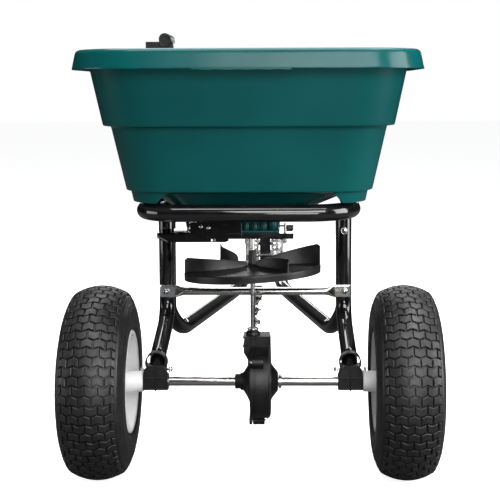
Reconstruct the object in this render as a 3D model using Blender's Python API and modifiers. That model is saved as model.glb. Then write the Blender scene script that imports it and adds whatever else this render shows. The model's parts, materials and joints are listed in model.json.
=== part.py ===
"""Two-wheeled tow-behind broadcast spreader, one object for each separate piece.

Metres, +Z up, +Y is the direction of travel and +X the right side. Every place below is measured
from the point on the ground under the middle of the axle; the root empty then moves the whole
machine back so that the middle of its outline stands on the origin.
"""

import math

import bmesh
import bpy
from mathutils import Vector

# Driving dimensions
AXLE_Y = -0.376
AXLE_Z = 0.165
AXLE_R = 0.008
AXLE_HALF = 0.3115
TYRE_R = 0.165
TYRE_HALF = 0.0555
WHEEL_X = 0.2610
RIM_R = 0.088
HUB_R = 0.0178
HUB_IN = 0.1885
HUB_OUT = 0.2995
COTTER_X = 0.3060
TUBE_R = 0.014
TUBE_WALL = 0.0018
GAP = 0.0003

HOPPER_TOP = 0.732
HOPPER_X = 0.2800
HOPPER_Y = 0.2130
LOOP_Z = 0.4695
LOOP_X = 0.167
LOOP_REAR = -0.120
LOOP_FRONT = 0.160

LEG_X = 0.162
LEG_Y = 0.137
LEG_BEND_Z = 0.250
LEG_FOOT = (0.166, 0.016, 0.198)
HITCH_TUBE_Y = LEG_Y + 2 * TUBE_R + 0.0004
UPPER_BOLT_Z = 0.410
CROSSBAR_Z = 0.300

BLOCK_X = (0.1456, 0.1878)
CROWN_TEETH = 40
PINION_TEETH = 8
PINION_Z = AXLE_Z + 0.050
SHAFT_R = 0.0042
DISC_Z = 0.357
DISC_R = 0.1165
DISC_SKIRT = 0.013
FIN_ANGLES = (18.0, 117.0, 197.0, 298.0)

GATE_Z = 0.4268
LEVER_X = -0.121
LEVER_Y = 0.234
LEVER_Z = 0.490
GRIP_X = -0.171
GRIP_Z = 0.7605

POST_Y = 0.905

for old in list(bpy.data.objects):
    bpy.data.objects.remove(old)

parts = bpy.data.collections.new("tow_spreader")
cutters = bpy.data.collections.new("cutters")
bpy.context.scene.collection.children.link(parts)
bpy.context.scene.collection.children.link(cutters)

root = bpy.data.objects.new("machine", None)
root.location = (0, AXLE_Y, 0)
parts.objects.link(root)


def material(name, colour, roughness, metallic=0.0):
    made = bpy.data.materials.new(name)
    made.use_nodes = True
    shader = made.node_tree.nodes["Principled BSDF"]
    shader.inputs["Base Color"].default_value = (*colour, 1.0)
    shader.inputs["Roughness"].default_value = roughness
    shader.inputs["Metallic"].default_value = metallic
    return made


GREEN = material("green_plastic", (0.004, 0.115, 0.095), 0.38)
BLACK_PAINT = material("black_paint", (0.012, 0.012, 0.013), 0.30)
BLACK_PLASTIC = material("black_plastic", (0.018, 0.018, 0.019), 0.55)
ZINC = material("zinc_steel", (0.56, 0.56, 0.55), 0.32, 1.0)
WHITE = material("white_rim", (0.80, 0.80, 0.80), 0.35)
RUBBER = material("tyre_rubber", (0.020, 0.020, 0.021), 0.85)


# Making objects

def place(name, mesh, finish, location=(0, 0, 0), group=parts):
    made = bpy.data.objects.new(name, mesh)
    made.location = location
    made.parent = root
    group.objects.link(made)
    if group is cutters:
        made.hide_render = True
        made.display_type = "WIRE"
    elif mesh is not None:
        made.data.materials.append(finish)
    return made


def mesh_from(name, work):
    mesh = bpy.data.meshes.new(name)
    work.to_mesh(mesh)
    work.free()
    mesh.shade_smooth()
    mesh.set_sharp_from_angle(angle=math.radians(35))
    return mesh


def box(name, finish, low, high, bevel=0.0, group=parts):
    low, high = Vector(low), Vector(high)
    work = bmesh.new()
    bmesh.ops.create_cube(work, size=1.0)
    bmesh.ops.scale(work, vec=high - low, verts=work.verts)
    made = place(name, mesh_from(name, work), finish, (low + high) / 2, group)
    if bevel:
        edge = made.modifiers.new("edges", "BEVEL")
        edge.width = bevel
        edge.segments = 2
    return made


def rod(name, finish, start, end, radius, sides=16, group=parts, end_radius=None):
    """A cylinder, or a cone with an end radius, from one point to another."""
    start, end = Vector(start), Vector(end)
    work = bmesh.new()
    bmesh.ops.create_cone(
        work, cap_ends=True, segments=sides, radius1=radius,
        radius2=radius if end_radius is None else end_radius, depth=(end - start).length,
    )
    turn = (end - start).to_track_quat("Z", "Y").to_matrix().to_4x4()
    bmesh.ops.transform(work, matrix=turn, verts=work.verts)
    return place(name, mesh_from(name, work), finish, (start + end) / 2, group)


def turned(name, finish, profile, centre, sides=40, group=parts, axis="X"):
    """A ring or disc turned round X, Y or Z from a closed loop of (radius, along) points."""
    work = bmesh.new()
    points = [work.verts.new((radius, 0, along)) for radius, along in profile]
    for one, two in zip(points, points[1:] + points[:1]):
        work.edges.new((one, two))
    mesh = bpy.data.meshes.new(name)
    work.to_mesh(mesh)
    work.free()
    made = place(name, mesh, finish, centre, group)
    screw = made.modifiers.new("turn", "SCREW")
    screw.axis = "Z"
    screw.steps = sides
    screw.render_steps = sides
    screw.use_merge_vertices = True
    screw.merge_threshold = 0.00001
    screw.use_normal_calculate = True
    if axis == "X":
        made.rotation_euler = (0, math.radians(90), 0)
    elif axis == "Y":
        made.rotation_euler = (math.radians(-90), 0, 0)
    return made


def loft(name, finish, sections, closed=False, group=parts):
    """A body through rings of points: capped at both ends, or closed round into a band."""
    work = bmesh.new()
    rings = [[work.verts.new(point) for point in ring] for ring in sections]
    pairs = list(zip(rings, rings[1:]))
    if closed:
        pairs.append((rings[-1], rings[0]))
    else:
        work.faces.new(rings[0])
        work.faces.new(rings[-1])
    for lower, upper in pairs:
        for i, here in enumerate(lower):
            after = (i + 1) % len(lower)
            work.faces.new((here, lower[after], upper[after], upper[i]))
    bmesh.ops.recalc_face_normals(work, faces=work.faces)
    return place(name, mesh_from(name, work), finish, group=group)


def rounded_rectangle(half_x, half_y, radius, z, steps=4):
    points = []
    for quarter, (side_x, side_y) in enumerate(((1, 1), (-1, 1), (-1, -1), (1, -1))):
        for step in range(steps + 1):
            angle = math.pi / 2 * (quarter + step / steps)
            x = side_x * (half_x - radius) + radius * math.cos(angle)
            y = side_y * (half_y - radius) + radius * math.sin(angle)
            points.append((x, y, z))
    return points


def rounded_path(corners, radius, steps=6):
    """Straight runs between the corner points, with an arc of the given radius at each corner."""
    corners = [Vector(corner) for corner in corners]
    radii = radius if isinstance(radius, (list, tuple)) else [radius] * (len(corners) - 2)
    path = [corners[0]]
    for before, corner, after, bend in zip(corners, corners[1:], corners[2:], radii):
        back = (before - corner).normalized()
        ahead = (after - corner).normalized()
        half = back.angle(ahead) / 2
        reach = bend / math.tan(half)
        centre = corner + (back + ahead).normalized() * (bend / math.sin(half))
        start = (corner + back * reach - centre).normalized()
        end = (corner + ahead * reach - centre).normalized()
        for step in range(steps + 1):
            path.append(centre + start.slerp(end, step / steps) * bend)
    path.append(corners[-1])
    return path


def wire(name, finish, path, radius, resolution=3, caps=True):
    curve = bpy.data.curves.new(name, "CURVE")
    curve.dimensions = "3D"
    curve.bevel_depth = radius
    curve.bevel_resolution = resolution
    curve.use_fill_caps = caps
    spline = curve.splines.new("POLY")
    spline.points.add(len(path) - 1)
    for point, place_at in zip(spline.points, path):
        point.co = (*place_at, 1.0)
    return place(name, curve, finish)


def as_mesh(curve_object):
    """The same object as a mesh, so that it can be cut or joined."""
    name = curve_object.name
    finish = curve_object.data.materials[0]
    bpy.context.view_layer.update()
    evaluated = curve_object.evaluated_get(bpy.context.evaluated_depsgraph_get())
    mesh = bpy.data.meshes.new_from_object(evaluated)
    work = bmesh.new()
    work.from_mesh(mesh)
    bmesh.ops.remove_doubles(work, verts=work.verts, dist=0.00001)
    bmesh.ops.recalc_face_normals(work, faces=work.faces)
    work.to_mesh(mesh)
    work.free()
    where = curve_object.matrix_world.copy()
    bpy.data.objects.remove(curve_object)
    mesh.materials.clear()
    made = place(name, mesh, finish)
    made.matrix_world = where
    return made


def pipe(name, finish, path, radius=TUBE_R, wall=TUBE_WALL, resolution=2):
    """A hollow tube, open at both ends."""
    made = as_mesh(wire(name, finish, path, radius, resolution, caps=False))
    skin = made.modifiers.new("wall", "SOLIDIFY")
    skin.thickness = wall
    skin.offset = -1
    return made


def combine(target, other, operation):
    change = target.modifiers.new(operation.lower(), "BOOLEAN")
    change.operation = operation
    change.object = other
    change.solver = "EXACT"


def drill(target, start, end, radius, sides=10):
    combine(target, rod(target.name + "_hole", None, start, end, radius, sides, cutters), "DIFFERENCE")


def joined(target, *others):
    for other in others:
        combine(target, other, "UNION")
    return target


def bolt(name, finish, head_end, nut_end, radius=0.004, head=0.0075, nut=True):
    """A hexagon bolt from its head face to its nut face, threads left plain."""
    head_end, nut_end = Vector(head_end), Vector(nut_end)
    along = (nut_end - head_end).normalized()
    height = 0.005
    made = rod(name, finish, head_end - along * height, head_end, head, 6)
    stem = rod(name + "_stem", None, head_end - along * 0.001, nut_end + along * 0.008, radius, 8, cutters)
    combine(made, stem, "UNION")
    if nut:
        tail = rod(name + "_nut", None, nut_end, nut_end + along * 0.006, head, 6, cutters)
        combine(made, tail, "UNION")
    return made


# Hopper

def hopper_ring(half_x, z, radius, less_y=HOPPER_X - HOPPER_Y):
    return rounded_rectangle(half_x, half_x - less_y, radius, z)


def build_hopper():
    inner = [
        rounded_rectangle(0.066, 0.048, 0.026, 0.4345),
        rounded_rectangle(0.069, 0.052, 0.030, 0.451),
        rounded_rectangle(0.162, 0.094, 0.055, 0.5045),
        hopper_ring(0.1945, 0.511, 0.064),
        hopper_ring(0.2178, 0.602, 0.077),
        hopper_ring(0.2328, 0.617, 0.086),
        hopper_ring(0.2540, 0.722, 0.095),
        hopper_ring(0.2575, 0.729, 0.098),
        hopper_ring(0.2620, HOPPER_TOP, 0.101),
    ]
    lip = [
        hopper_ring(0.2715, HOPPER_TOP, 0.108),
        hopper_ring(0.2770, 0.7285, 0.112),
        hopper_ring(0.2795, 0.721, 0.114),
        hopper_ring(HOPPER_X, 0.7015, 0.114),
        hopper_ring(0.2773, 0.7015, 0.112),
        hopper_ring(0.2755, 0.721, 0.110),
        hopper_ring(0.2705, 0.7275, 0.107),
        hopper_ring(0.2640, 0.7275, 0.102),
    ]
    outer = [
        hopper_ring(0.2572, 0.718, 0.098),
        hopper_ring(0.2365, 0.6165, 0.089),
        hopper_ring(0.2212, 0.600, 0.080),
        hopper_ring(0.1990, 0.5065, 0.067),
        hopper_ring(0.1960, 0.503, 0.065),
        rounded_rectangle(0.166, 0.098, 0.058, 0.5008),
        rounded_rectangle(0.073, 0.056, 0.033, 0.449),
        rounded_rectangle(0.071, 0.054, 0.031, 0.4355),
        rounded_rectangle(0.090, 0.067, 0.020, 0.4345),
        rounded_rectangle(0.090, 0.067, 0.020, 0.4305),
    ]
    hopper = loft("hopper", GREEN, inner + lip + outer)
    skirt = loft("hopper_skirts", None, [
        hopper_ring(0.1987, 0.5078, 0.067),
        hopper_ring(0.1950, 0.4955, 0.065),
        hopper_ring(0.184, 0.4865, 0.058),
        hopper_ring(0.178, 0.4845, 0.054),
        hopper_ring(0.175, 0.4845, 0.051),
        hopper_ring(0.182, 0.4895, 0.055),
        hopper_ring(0.1915, 0.498, 0.061),
        hopper_ring(0.1950, 0.5078, 0.064),
    ], closed=True, group=cutters)
    long_gap = box("skirt_gap_rear", None, (-0.140, -0.3, 0.44), (0.140, 0.3, 0.5022), group=cutters)
    side_gap = box("skirt_gap_side", None, (-0.3, -0.068, 0.44), (0.3, 0.068, 0.5022), group=cutters)
    combine(skirt, long_gap, "DIFFERENCE")
    combine(skirt, side_gap, "DIFFERENCE")
    combine(hopper, skirt, "UNION")
    drill(hopper, (0, 0, 0.42), (0, 0, 0.45), 0.0112, 24)
    for x in (-0.034, 0.034):
        drill(hopper, (x, 0, 0.42), (x, 0, 0.45), 0.015, 20)
    return hopper


# Frame

def build_frame():
    corner = 0.080
    loop = pipe("support_loop", BLACK_PAINT, rounded_path([
        (-LOOP_X, LOOP_FRONT, LOOP_Z), (-LOOP_X, LOOP_REAR, LOOP_Z),
        (LOOP_X, LOOP_REAR, LOOP_Z), (LOOP_X, LOOP_FRONT, LOOP_Z),
    ], corner, 5))
    drill(loop, (-0.19, 0.100, LOOP_Z), (-0.14, 0.100, LOOP_Z), 0.0035)
    top = LOOP_Z - TUBE_R - GAP - 0.0002
    for side, name in ((-1, "left"), (1, "right")):
        foot = (side * LEG_FOOT[0], LEG_FOOT[1], LEG_FOOT[2])
        leg = pipe(name + "_leg", BLACK_PAINT, rounded_path([
            (side * LEG_X, LEG_Y, top), (side * LEG_X, LEG_Y, LEG_BEND_Z), foot,
        ], 0.050, 4))
        hitch = pipe(name + "_hitch_tube", BLACK_PAINT, rounded_path([
            (side * LEG_X, HITCH_TUBE_Y, 0.440),
            (side * LEG_X, HITCH_TUBE_Y, 0.256),
            (side * 0.143, 0.192, 0.2155),
            (side * 0.103, 0.310, 0.2160),
            (side * 0.0285, 0.760, 0.2410),
            (side * 0.0285, 0.880, 0.2440),
        ], [0.034, 0.045, 0.20, 0.25], 3))
        for z, level in ((UPPER_BOLT_Z, "upper"), (CROSSBAR_Z, "lower")):
            head = LEG_Y - TUBE_R - GAP
            if level == "lower":
                head -= 0.0047
            ends = ((side * LEG_X, head, z), (side * LEG_X, HITCH_TUBE_Y + TUBE_R + GAP, z))
            bolt(name + "_" + level + "_frame_bolt", ZINC, *ends)
            for tube in (leg, hitch):
                drill(tube, (side * LEG_X, 0.10, z), (side * LEG_X, 0.20, z), 0.0044)
        screw_y = LEG_FOOT[1] + 0.010
        screw_z = 0.2035
        bolt(name + "_bushing_screw", ZINC, (side * 0.1425, screw_y, screw_z),
             (side * 0.1895, screw_y, screw_z), 0.0025, 0.0045, nut=False)
        drill(leg, (side * 0.13, screw_y, screw_z), (side * 0.20, screw_y, screw_z), 0.0029)


def build_crossbar():
    y = LEG_Y - TUBE_R - 0.0025
    bar = rod("crossbar", ZINC, (-0.1475, y, CROSSBAR_Z), (0.1475, y, CROSSBAR_Z), 0.0073, 16)
    for side in (-1, 1):
        low = (min(side * 0.144, side * 0.1735), y - 0.0021, CROSSBAR_Z - 0.0115)
        high = (max(side * 0.144, side * 0.1735), y + 0.0021, CROSSBAR_Z + 0.0115)
        combine(bar, box("crossbar_end", None, low, high, group=cutters), "UNION")
        drill(bar, (side * LEG_X, y - 0.02, CROSSBAR_Z), (side * LEG_X, y + 0.02, CROSSBAR_Z), 0.0044)
    drill(bar, (0.006, y - 0.02, CROSSBAR_Z), (0.006, y + 0.02, CROSSBAR_Z), 0.0028)


def build_bushings():
    """Black blocks that hold the axle and take the foot of each leg in a socket."""
    foot_y, foot_z = LEG_FOOT[1], LEG_FOOT[2]
    bend = Vector((LEG_X, LEG_Y, LEG_BEND_Z))
    for side, name in ((-1, "left"), (1, "right")):
        inner, outer = side * BLOCK_X[0], side * BLOCK_X[1]
        middle = (inner + outer) / 2
        block = rod(name + "_axle_bushing", BLACK_PLASTIC, (inner, 0, AXLE_Z), (outer, 0, AXLE_Z), 0.0145, 20)
        low_x, high_x = min(inner, outer), max(inner, outer)
        plate = box("plate", None, (low_x + 0.0003, -0.0155, 0.151), (high_x - 0.0003, -0.008, 0.200), group=cutters)
        arch = rod("arch", None, (middle, -0.0155, 0.1915), (middle, -0.008, 0.1915), 0.0207, 20, cutters)
        web = box("web", None, (low_x + 0.004, -0.010, 0.160), (high_x - 0.004, 0.020, 0.197), group=cutters)
        ribs = [
            box("rib", None, (middle - 0.0016, -0.0185, 0.149), (middle + 0.0016, -0.012, 0.2118), group=cutters),
            box("rib", None, (low_x + 0.003, -0.0185, 0.176), (high_x - 0.003, -0.012, 0.1792), group=cutters),
        ]
        foot = Vector((side * LEG_FOOT[0], foot_y, foot_z))
        along = (Vector((side * bend.x, bend.y, bend.z)) - foot).normalized()
        socket = rod("socket", None, foot - along * 0.009, foot + along * 0.030, 0.0187, 20, cutters)
        joined(block, plate, arch, web, *ribs, socket)
        drill(block, (side * 0.12, 0, AXLE_Z), (side * 0.21, 0, AXLE_Z), AXLE_R + GAP, 16)
        drill(block, foot - along * 0.0006, foot + along * 0.08, TUBE_R + GAP, 20)
        drill(block, (side * 0.13, foot_y + 0.010, 0.2035), (side * 0.20, foot_y + 0.010, 0.2035), 0.0029)


# Wheels and axle

def build_wheels():
    axle = rod("axle", ZINC, (-AXLE_HALF, 0, AXLE_Z), (AXLE_HALF, 0, AXLE_Z), AXLE_R, 20)
    for side in (-1, 1):
        drill(axle, (side * COTTER_X, 0, AXLE_Z - 0.02), (side * COTTER_X, 0, AXLE_Z + 0.02), 0.0019, 10)
    drill(axle, (0.0515, 0, AXLE_Z - 0.02), (0.0515, 0, AXLE_Z + 0.02), 0.0024, 10)
    tread = []
    for step in range(7):
        angle = math.radians(-81 + 27 * step)
        swell = abs(math.sin(angle))
        along = TYRE_HALF * math.sin(angle) / math.sin(math.radians(81))
        tread.append((TYRE_R - 0.044 * swell ** 4, along * (1 - 0.02 * swell)))
    outer = [(RIM_R + 0.001, -TYRE_HALF * 0.80), (0.105, -TYRE_HALF * 0.97)] + tread
    outer += [(0.105, TYRE_HALF * 0.97), (RIM_R + 0.001, TYRE_HALF * 0.80)]
    inner = [(0.112, 0.047), (0.150, 0.034), (0.150, -0.034), (0.112, -0.047)]
    lining = [(RIM_R + 0.001, 0.038)] + inner + [(RIM_R + 0.001, -0.038)]
    for side, name in ((-1, "left"), (1, "right")):
        centre = (side * WHEEL_X, 0, AXLE_Z)
        turned(name + "_tyre", RUBBER, (outer + lining)[::-1], centre, 32)
        bore = AXLE_R + GAP
        inward = HUB_IN - WHEEL_X
        outward = HUB_OUT - WHEEL_X
        flange = TYRE_HALF * 0.975
        profile = [
            (bore, inward), (HUB_R, inward), (HUB_R, -0.012), (0.062, -0.010), (0.0730, -0.024),
            (0.080, -flange), (0.0872, -flange), (0.0800, -0.030), (0.0800, 0.030), (0.0872, flange),
            (0.080, flange), (0.0730, 0.016), (0.062, 0.001), (HUB_R, 0.006), (HUB_R, outward),
            (bore, outward),
        ]
        if side < 0:
            profile = [(radius, -along) for radius, along in profile][::-1]
        rim = turned(name + "_rim", WHITE, profile[::-1], centre, 24)
        hole_y = 0.066
        drill(rim, (side * 0.20, hole_y, AXLE_Z), (side * 0.30, hole_y, AXLE_Z), 0.0052, 12)
        stem_start = side * (WHEEL_X - 0.012)
        stem = rod(name + "_valve_stem", BLACK_PLASTIC, (stem_start, hole_y, AXLE_Z),
                   (side * (WHEEL_X + 0.024), hole_y, AXLE_Z), 0.0036, 12)
        combine(stem, rod("cap", None, (side * (WHEEL_X + 0.014), hole_y, AXLE_Z),
                          (side * (WHEEL_X + 0.027), hole_y, AXLE_Z), 0.0046, 12, cutters), "UNION")
        washer_at = side * (HUB_OUT + GAP)
        thick = side * 0.0016
        washer = rod(name + "_wheel_washer", ZINC, (washer_at, 0, AXLE_Z), (washer_at + thick, 0, AXLE_Z), 0.0145, 20)
        drill(washer, (side * 0.28, 0, AXLE_Z), (side * 0.32, 0, AXLE_Z), AXLE_R + GAP, 16)
        pin_x = side * COTTER_X
        pin = rod(name + "_cotter_pin", ZINC, (pin_x, 0, AXLE_Z - 0.0145), (pin_x, 0, AXLE_Z + 0.0125), 0.0016, 10)
        head = turned("eye", None, [(0.0052 + 0.0015 * math.cos(a), 0.0015 * math.sin(a))
                                    for a in (0.0, 1.05, 2.09, 3.14, 4.19, 5.24)],
                      (pin_x, 0, AXLE_Z + 0.0178), 14, cutters, "X")
        combine(pin, head, "UNION")


# Gearbox and spinner

def tooth_ring(work, count, sections):
    """Radial star outline at each section: (z, root, tip, root width, tip width, phase)."""
    rings = []
    for z, root, tip, root_part, tip_part in sections:
        ring = []
        for tooth in range(count):
            middle = 2 * math.pi * tooth / count
            pitch = 2 * math.pi / count
            for part, radius in ((-root_part, root), (-tip_part, tip), (tip_part, tip), (root_part, root)):
                angle = middle + pitch * part / 2
                ring.append(work.verts.new((radius * math.cos(angle), radius * math.sin(angle), z)))
        rings.append(ring)
    return rings


def build_gears():
    work = bmesh.new()
    rings = tooth_ring(work, PINION_TEETH, [(-0.0045, 0.0072, 0.0118, 0.52, 0.22), (0.0075, 0.0072, 0.0118, 0.52, 0.22)])
    work.faces.new(rings[0])
    work.faces.new(rings[1])
    for i, here in enumerate(rings[0]):
        after = (i + 1) % len(rings[0])
        work.faces.new((here, rings[0][after], rings[1][after], rings[1][i]))
    bmesh.ops.recalc_face_normals(work, faces=work.faces)
    pinion = place("pinion", mesh_from("pinion", work), ZINC, (0, 0, PINION_Z))
    pinion.rotation_euler = (0, 0, math.pi / PINION_TEETH)
    collar = rod("pinion_collar", None, (0, 0, PINION_Z + 0.006), (0, 0, PINION_Z + 0.014), 0.0085, 16, cutters)
    joined(pinion, collar)
    drill(pinion, (0, 0, PINION_Z - 0.02), (0, 0, PINION_Z + 0.03), SHAFT_R + GAP, 16)

    crown = turned("crown_gear", BLACK_PLASTIC, [
        (AXLE_R + GAP, 0.0235), (0.0150, 0.0235), (0.0150, 0.0195), (0.0570, 0.0195),
        (0.0570, 0.0128), (0.0150, 0.0128), (0.0150, 0.0050), (AXLE_R + GAP, 0.0050),
    ], (0, 0, AXLE_Z), 20)
    work = bmesh.new()
    pitch = 2 * math.pi / CROWN_TEETH
    for tooth in range(CROWN_TEETH):
        middle = pitch * tooth
        bars = []
        for radius in (0.0445, 0.0560):
            for along, part in ((0.0134, 0.40), (0.0086, 0.17)):
                for way in (-1, 1):
                    angle = middle + way * part * pitch / 2
                    bars.append(work.verts.new((along, radius * math.sin(angle), radius * math.cos(angle))))
        for corners in ((0, 1, 3, 2), (4, 6, 7, 5), (0, 4, 5, 1), (2, 3, 7, 6), (0, 2, 6, 4), (1, 5, 7, 3)):
            work.faces.new([bars[corner] for corner in corners])
    bmesh.ops.recalc_face_normals(work, faces=work.faces)
    teeth = place("crown_teeth", mesh_from("crown_teeth", work), None, (0, 0, AXLE_Z), cutters)
    combine(crown, teeth, "UNION")


def gearbox_outline(grow):
    """Side outline of the gearbox cavity: a round gear case with a neck up to the shaft."""
    centre_z, radius, neck, top = AXLE_Z, 0.0600 + grow, 0.0175 + grow, 0.2440 + grow
    start = math.asin(neck / radius)
    points = [(neck, top)]
    for step in range(17):
        angle = start + (2 * math.pi - 2 * start) * step / 16
        points.append((radius * math.sin(angle), centre_z + radius * math.cos(angle)))
    points.append((-neck, top))
    return points


def case_half(name, mouth_x, end_x, cheek_x):
    """One shell: an outline wall from its mouth to its end, closed by a tapered cheek."""
    sections = []
    for x, grow in ((mouth_x, 0.0032), (end_x, 0.0032), (cheek_x, -0.0060)):
        sections.append([(x, y, z) for y, z in gearbox_outline(grow)])
    shell = loft(name, BLACK_PLASTIC, sections)
    return shell


def build_gearbox():
    seam = -0.0015
    left = case_half("gearbox_left_shell", seam - GAP / 2, -0.0165, -0.0200)
    right = case_half("gearbox_right_shell", seam + GAP / 2, 0.0270, 0.0305)
    for shell, start, end, radius in (
        (left, (-0.0185, 0, AXLE_Z), (-0.0310, 0, AXLE_Z), 0.0145),
        (right, (0.0290, 0, AXLE_Z), (0.0398, 0, AXLE_Z), 0.0250),
    ):
        far = 0.0125 if shell is left else 0.0150
        combine(shell, rod("boss", None, start, end, radius, 20, cutters, far), "UNION")
        drill(shell, (-0.05, 0, AXLE_Z), (0.06, 0, AXLE_Z), AXLE_R + GAP, 16)
        drill(shell, (0, 0, 0.235), (0, 0, 0.262), SHAFT_R + GAP, 20)
    for number, (y, z) in enumerate(((0.0560, 0.2110), (-0.0560, 0.2110), (0.0, 0.0965))):
        reach = Vector((y, z - AXLE_Z)).normalized() * 0.0615
        centre = (reach.x, AXLE_Z + reach.y)
        for shell, inner, outer in ((left, seam - 0.0005, -0.0105), (right, seam + 0.0005, 0.0195)):
            ear = rod("ear", None, (inner, y * 0.98, z), (outer, y * 0.98, z), 0.0075, 16, cutters)
            root_box = rod("root", None, (inner, centre[0], centre[1]), (outer, centre[0], centre[1]), 0.0050, 12, cutters)
            combine(shell, ear, "UNION")
            combine(shell, root_box, "UNION")
            drill(shell, (-0.05, y * 0.98, z), (0.06, y * 0.98, z), 0.0026, 12)
        bolt("gearbox_screw_" + str(number + 1), ZINC, (-0.0105 - GAP, y * 0.98, z),
             (0.0195 + GAP, y * 0.98, z), 0.0022, 0.0042)
    for shell in (left, right):
        inside = loft("inside", None, [
            [(x, y, z) for y, z in gearbox_outline(0.0)] for x in (-0.0145, 0.0250)
        ], group=cutters)
        combine(shell, inside, "DIFFERENCE")
    collar = rod("axle_collar", ZINC, (0.0402, 0, AXLE_Z), (0.0588, 0, AXLE_Z), 0.0125, 20)
    drill(collar, (0.03, 0, AXLE_Z), (0.07, 0, AXLE_Z), AXLE_R + GAP, 16)
    drill(collar, (0.0515, 0, AXLE_Z - 0.02), (0.0515, 0, AXLE_Z + 0.02), 0.0024, 10)
    rod("collar_pin", ZINC, (0.0515, 0, AXLE_Z - 0.0165), (0.0515, 0, AXLE_Z + 0.0165), 0.0021, 10)


def build_stay():
    """Twisted strap that keeps the gearbox from turning with the axle."""
    y_top = LEG_Y - TUBE_R - 0.0025 + 0.0073 + GAP + 0.0012
    flat_z, tab_y = 0.2590, 0.0300
    path = rounded_path([
        (0.006, y_top, CROSSBAR_Z + 0.009), (0.006, y_top, 0.2860),
        (0.0045, 0.0520, flat_z), (0.0045, tab_y, flat_z),
    ], [0.008, 0.020], 3)
    twisted = path[:5] + [path[4].lerp(path[5], part / 10) for part in range(1, 10)] + path[5:]
    sections = []
    for number, centre in enumerate(twisted):
        before = twisted[max(number - 1, 0)]
        after = twisted[min(number + 1, len(twisted) - 1)]
        ahead = (after - before).normalized()
        turn = math.radians(36 * max(0, min(10, number - 4)))
        across = ahead.cross(Vector((1, 0, 0))).normalized()
        wide = (Vector((1, 0, 0)) * math.cos(turn) + across * math.sin(turn)) * 0.0075
        thin = (across * math.cos(turn) - Vector((1, 0, 0)) * math.sin(turn)) * 0.0011
        sections.append([centre + wide + thin, centre - wide + thin, centre - wide - thin, centre + wide - thin])
    strap = loft("gearbox_stay", ZINC, sections)
    drill(strap, (0.006, 0.09, CROSSBAR_Z), (0.006, 0.15, CROSSBAR_Z), 0.0028, 12)
    stud = (0.0045, 0.0370)
    drill(strap, (*stud, 0.25), (*stud, 0.27), 0.0026, 12)
    back = LEG_Y - TUBE_R - 0.0025
    bolt("stay_screw", ZINC, (0.006, back - 0.0073 - GAP, CROSSBAR_Z),
         (0.006, y_top + 0.0040, CROSSBAR_Z), 0.0024, 0.0042)
    clamp = box("gearbox_clamp", ZINC, (-0.0190, -0.0225, 0.2482), (0.0300, 0.0425, 0.2512))
    ear = box("ear", None, (-0.0030, 0.0290, 0.2484), (0.0120, 0.0423, 0.2575), group=cutters)
    post = rod("stud", None, (*stud, 0.2560), (*stud, 0.2660), 0.0022, 12, cutters)
    nut = rod("stud_nut", None, (*stud, 0.2605), (*stud, 0.2640), 0.0042, 6, cutters)
    joined(clamp, ear, post, nut)
    drill(clamp, (0, 0, 0.24), (0, 0, 0.26), SHAFT_R + GAP * 2, 20)


def build_spinner():
    shaft = rod("spinner_shaft", ZINC, (0, 0, 0.2030), (0, 0, 0.5060), SHAFT_R, 16)
    drill(shaft, (-0.02, 0, 0.3790), (0.02, 0, 0.3790), 0.0014, 10)
    drill(shaft, (-0.02, 0, 0.4820), (0.02, 0, 0.4820), 0.0016, 10)
    disc = turned("spinner_disc", BLACK_PLASTIC, [
        (SHAFT_R + GAP, DISC_Z + 0.0300), (0.0064, DISC_Z + 0.0300), (0.0068, DISC_Z + 0.0025),
        (0.0900, DISC_Z), (DISC_R - 0.001, DISC_Z), (DISC_R, DISC_Z - 0.001), (DISC_R, DISC_Z - DISC_SKIRT),
        (DISC_R - 0.0022, DISC_Z - DISC_SKIRT), (DISC_R - 0.0022, DISC_Z - 0.0026), (0.0085, DISC_Z - 0.0026),
        (0.0075, DISC_Z - 0.0140), (SHAFT_R + GAP, DISC_Z - 0.0140),
    ], (0, 0, 0), 32, axis="Z")
    for number, angle in enumerate(FIN_ANGLES):
        sections = []
        for step in range(5):
            part = step / 4
            radius = 0.0100 + (DISC_R - 0.0115) * part
            heading = math.radians(angle - 15 * part * part)
            out = Vector((math.cos(heading), math.sin(heading), 0.0))
            side = Vector((-out.y, out.x, 0.0)) * 0.0011
            height = 0.0100 + 0.0215 * part ** 0.8
            foot = out * radius + Vector((0, 0, DISC_Z - 0.0012))
            head = out * radius + Vector((0, 0, DISC_Z + height))
            sections.append([foot - side, foot + side, head + side, head - side])
        combine(disc, loft("fin", None, sections, group=cutters), "UNION")
    drill(disc, (-0.02, 0, 0.3790), (0.02, 0, 0.3790), 0.0014, 10)
    rod("spinner_pin", ZINC, (-0.0105, 0, 0.3790), (0.0105, 0, 0.3790), 0.0012, 10)
    wire("agitator", ZINC, rounded_path([
        (-0.036, 0, 0.4700), (-0.030, 0, 0.4820), (0.030, 0, 0.4820), (0.036, 0, 0.4940),
    ], 0.004, 3), 0.0013, 2)
    turned("shaft_bushing", BLACK_PLASTIC, [
        (SHAFT_R + GAP, 0.4420), (0.0100, 0.4420), (0.0140, 0.4395), (0.0140, 0.4349),
        (0.0108, 0.4349), (0.0108, 0.4305), (SHAFT_R + GAP, 0.4305),
    ], (0, 0, 0), 24, axis="Z")


# Rate control

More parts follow.
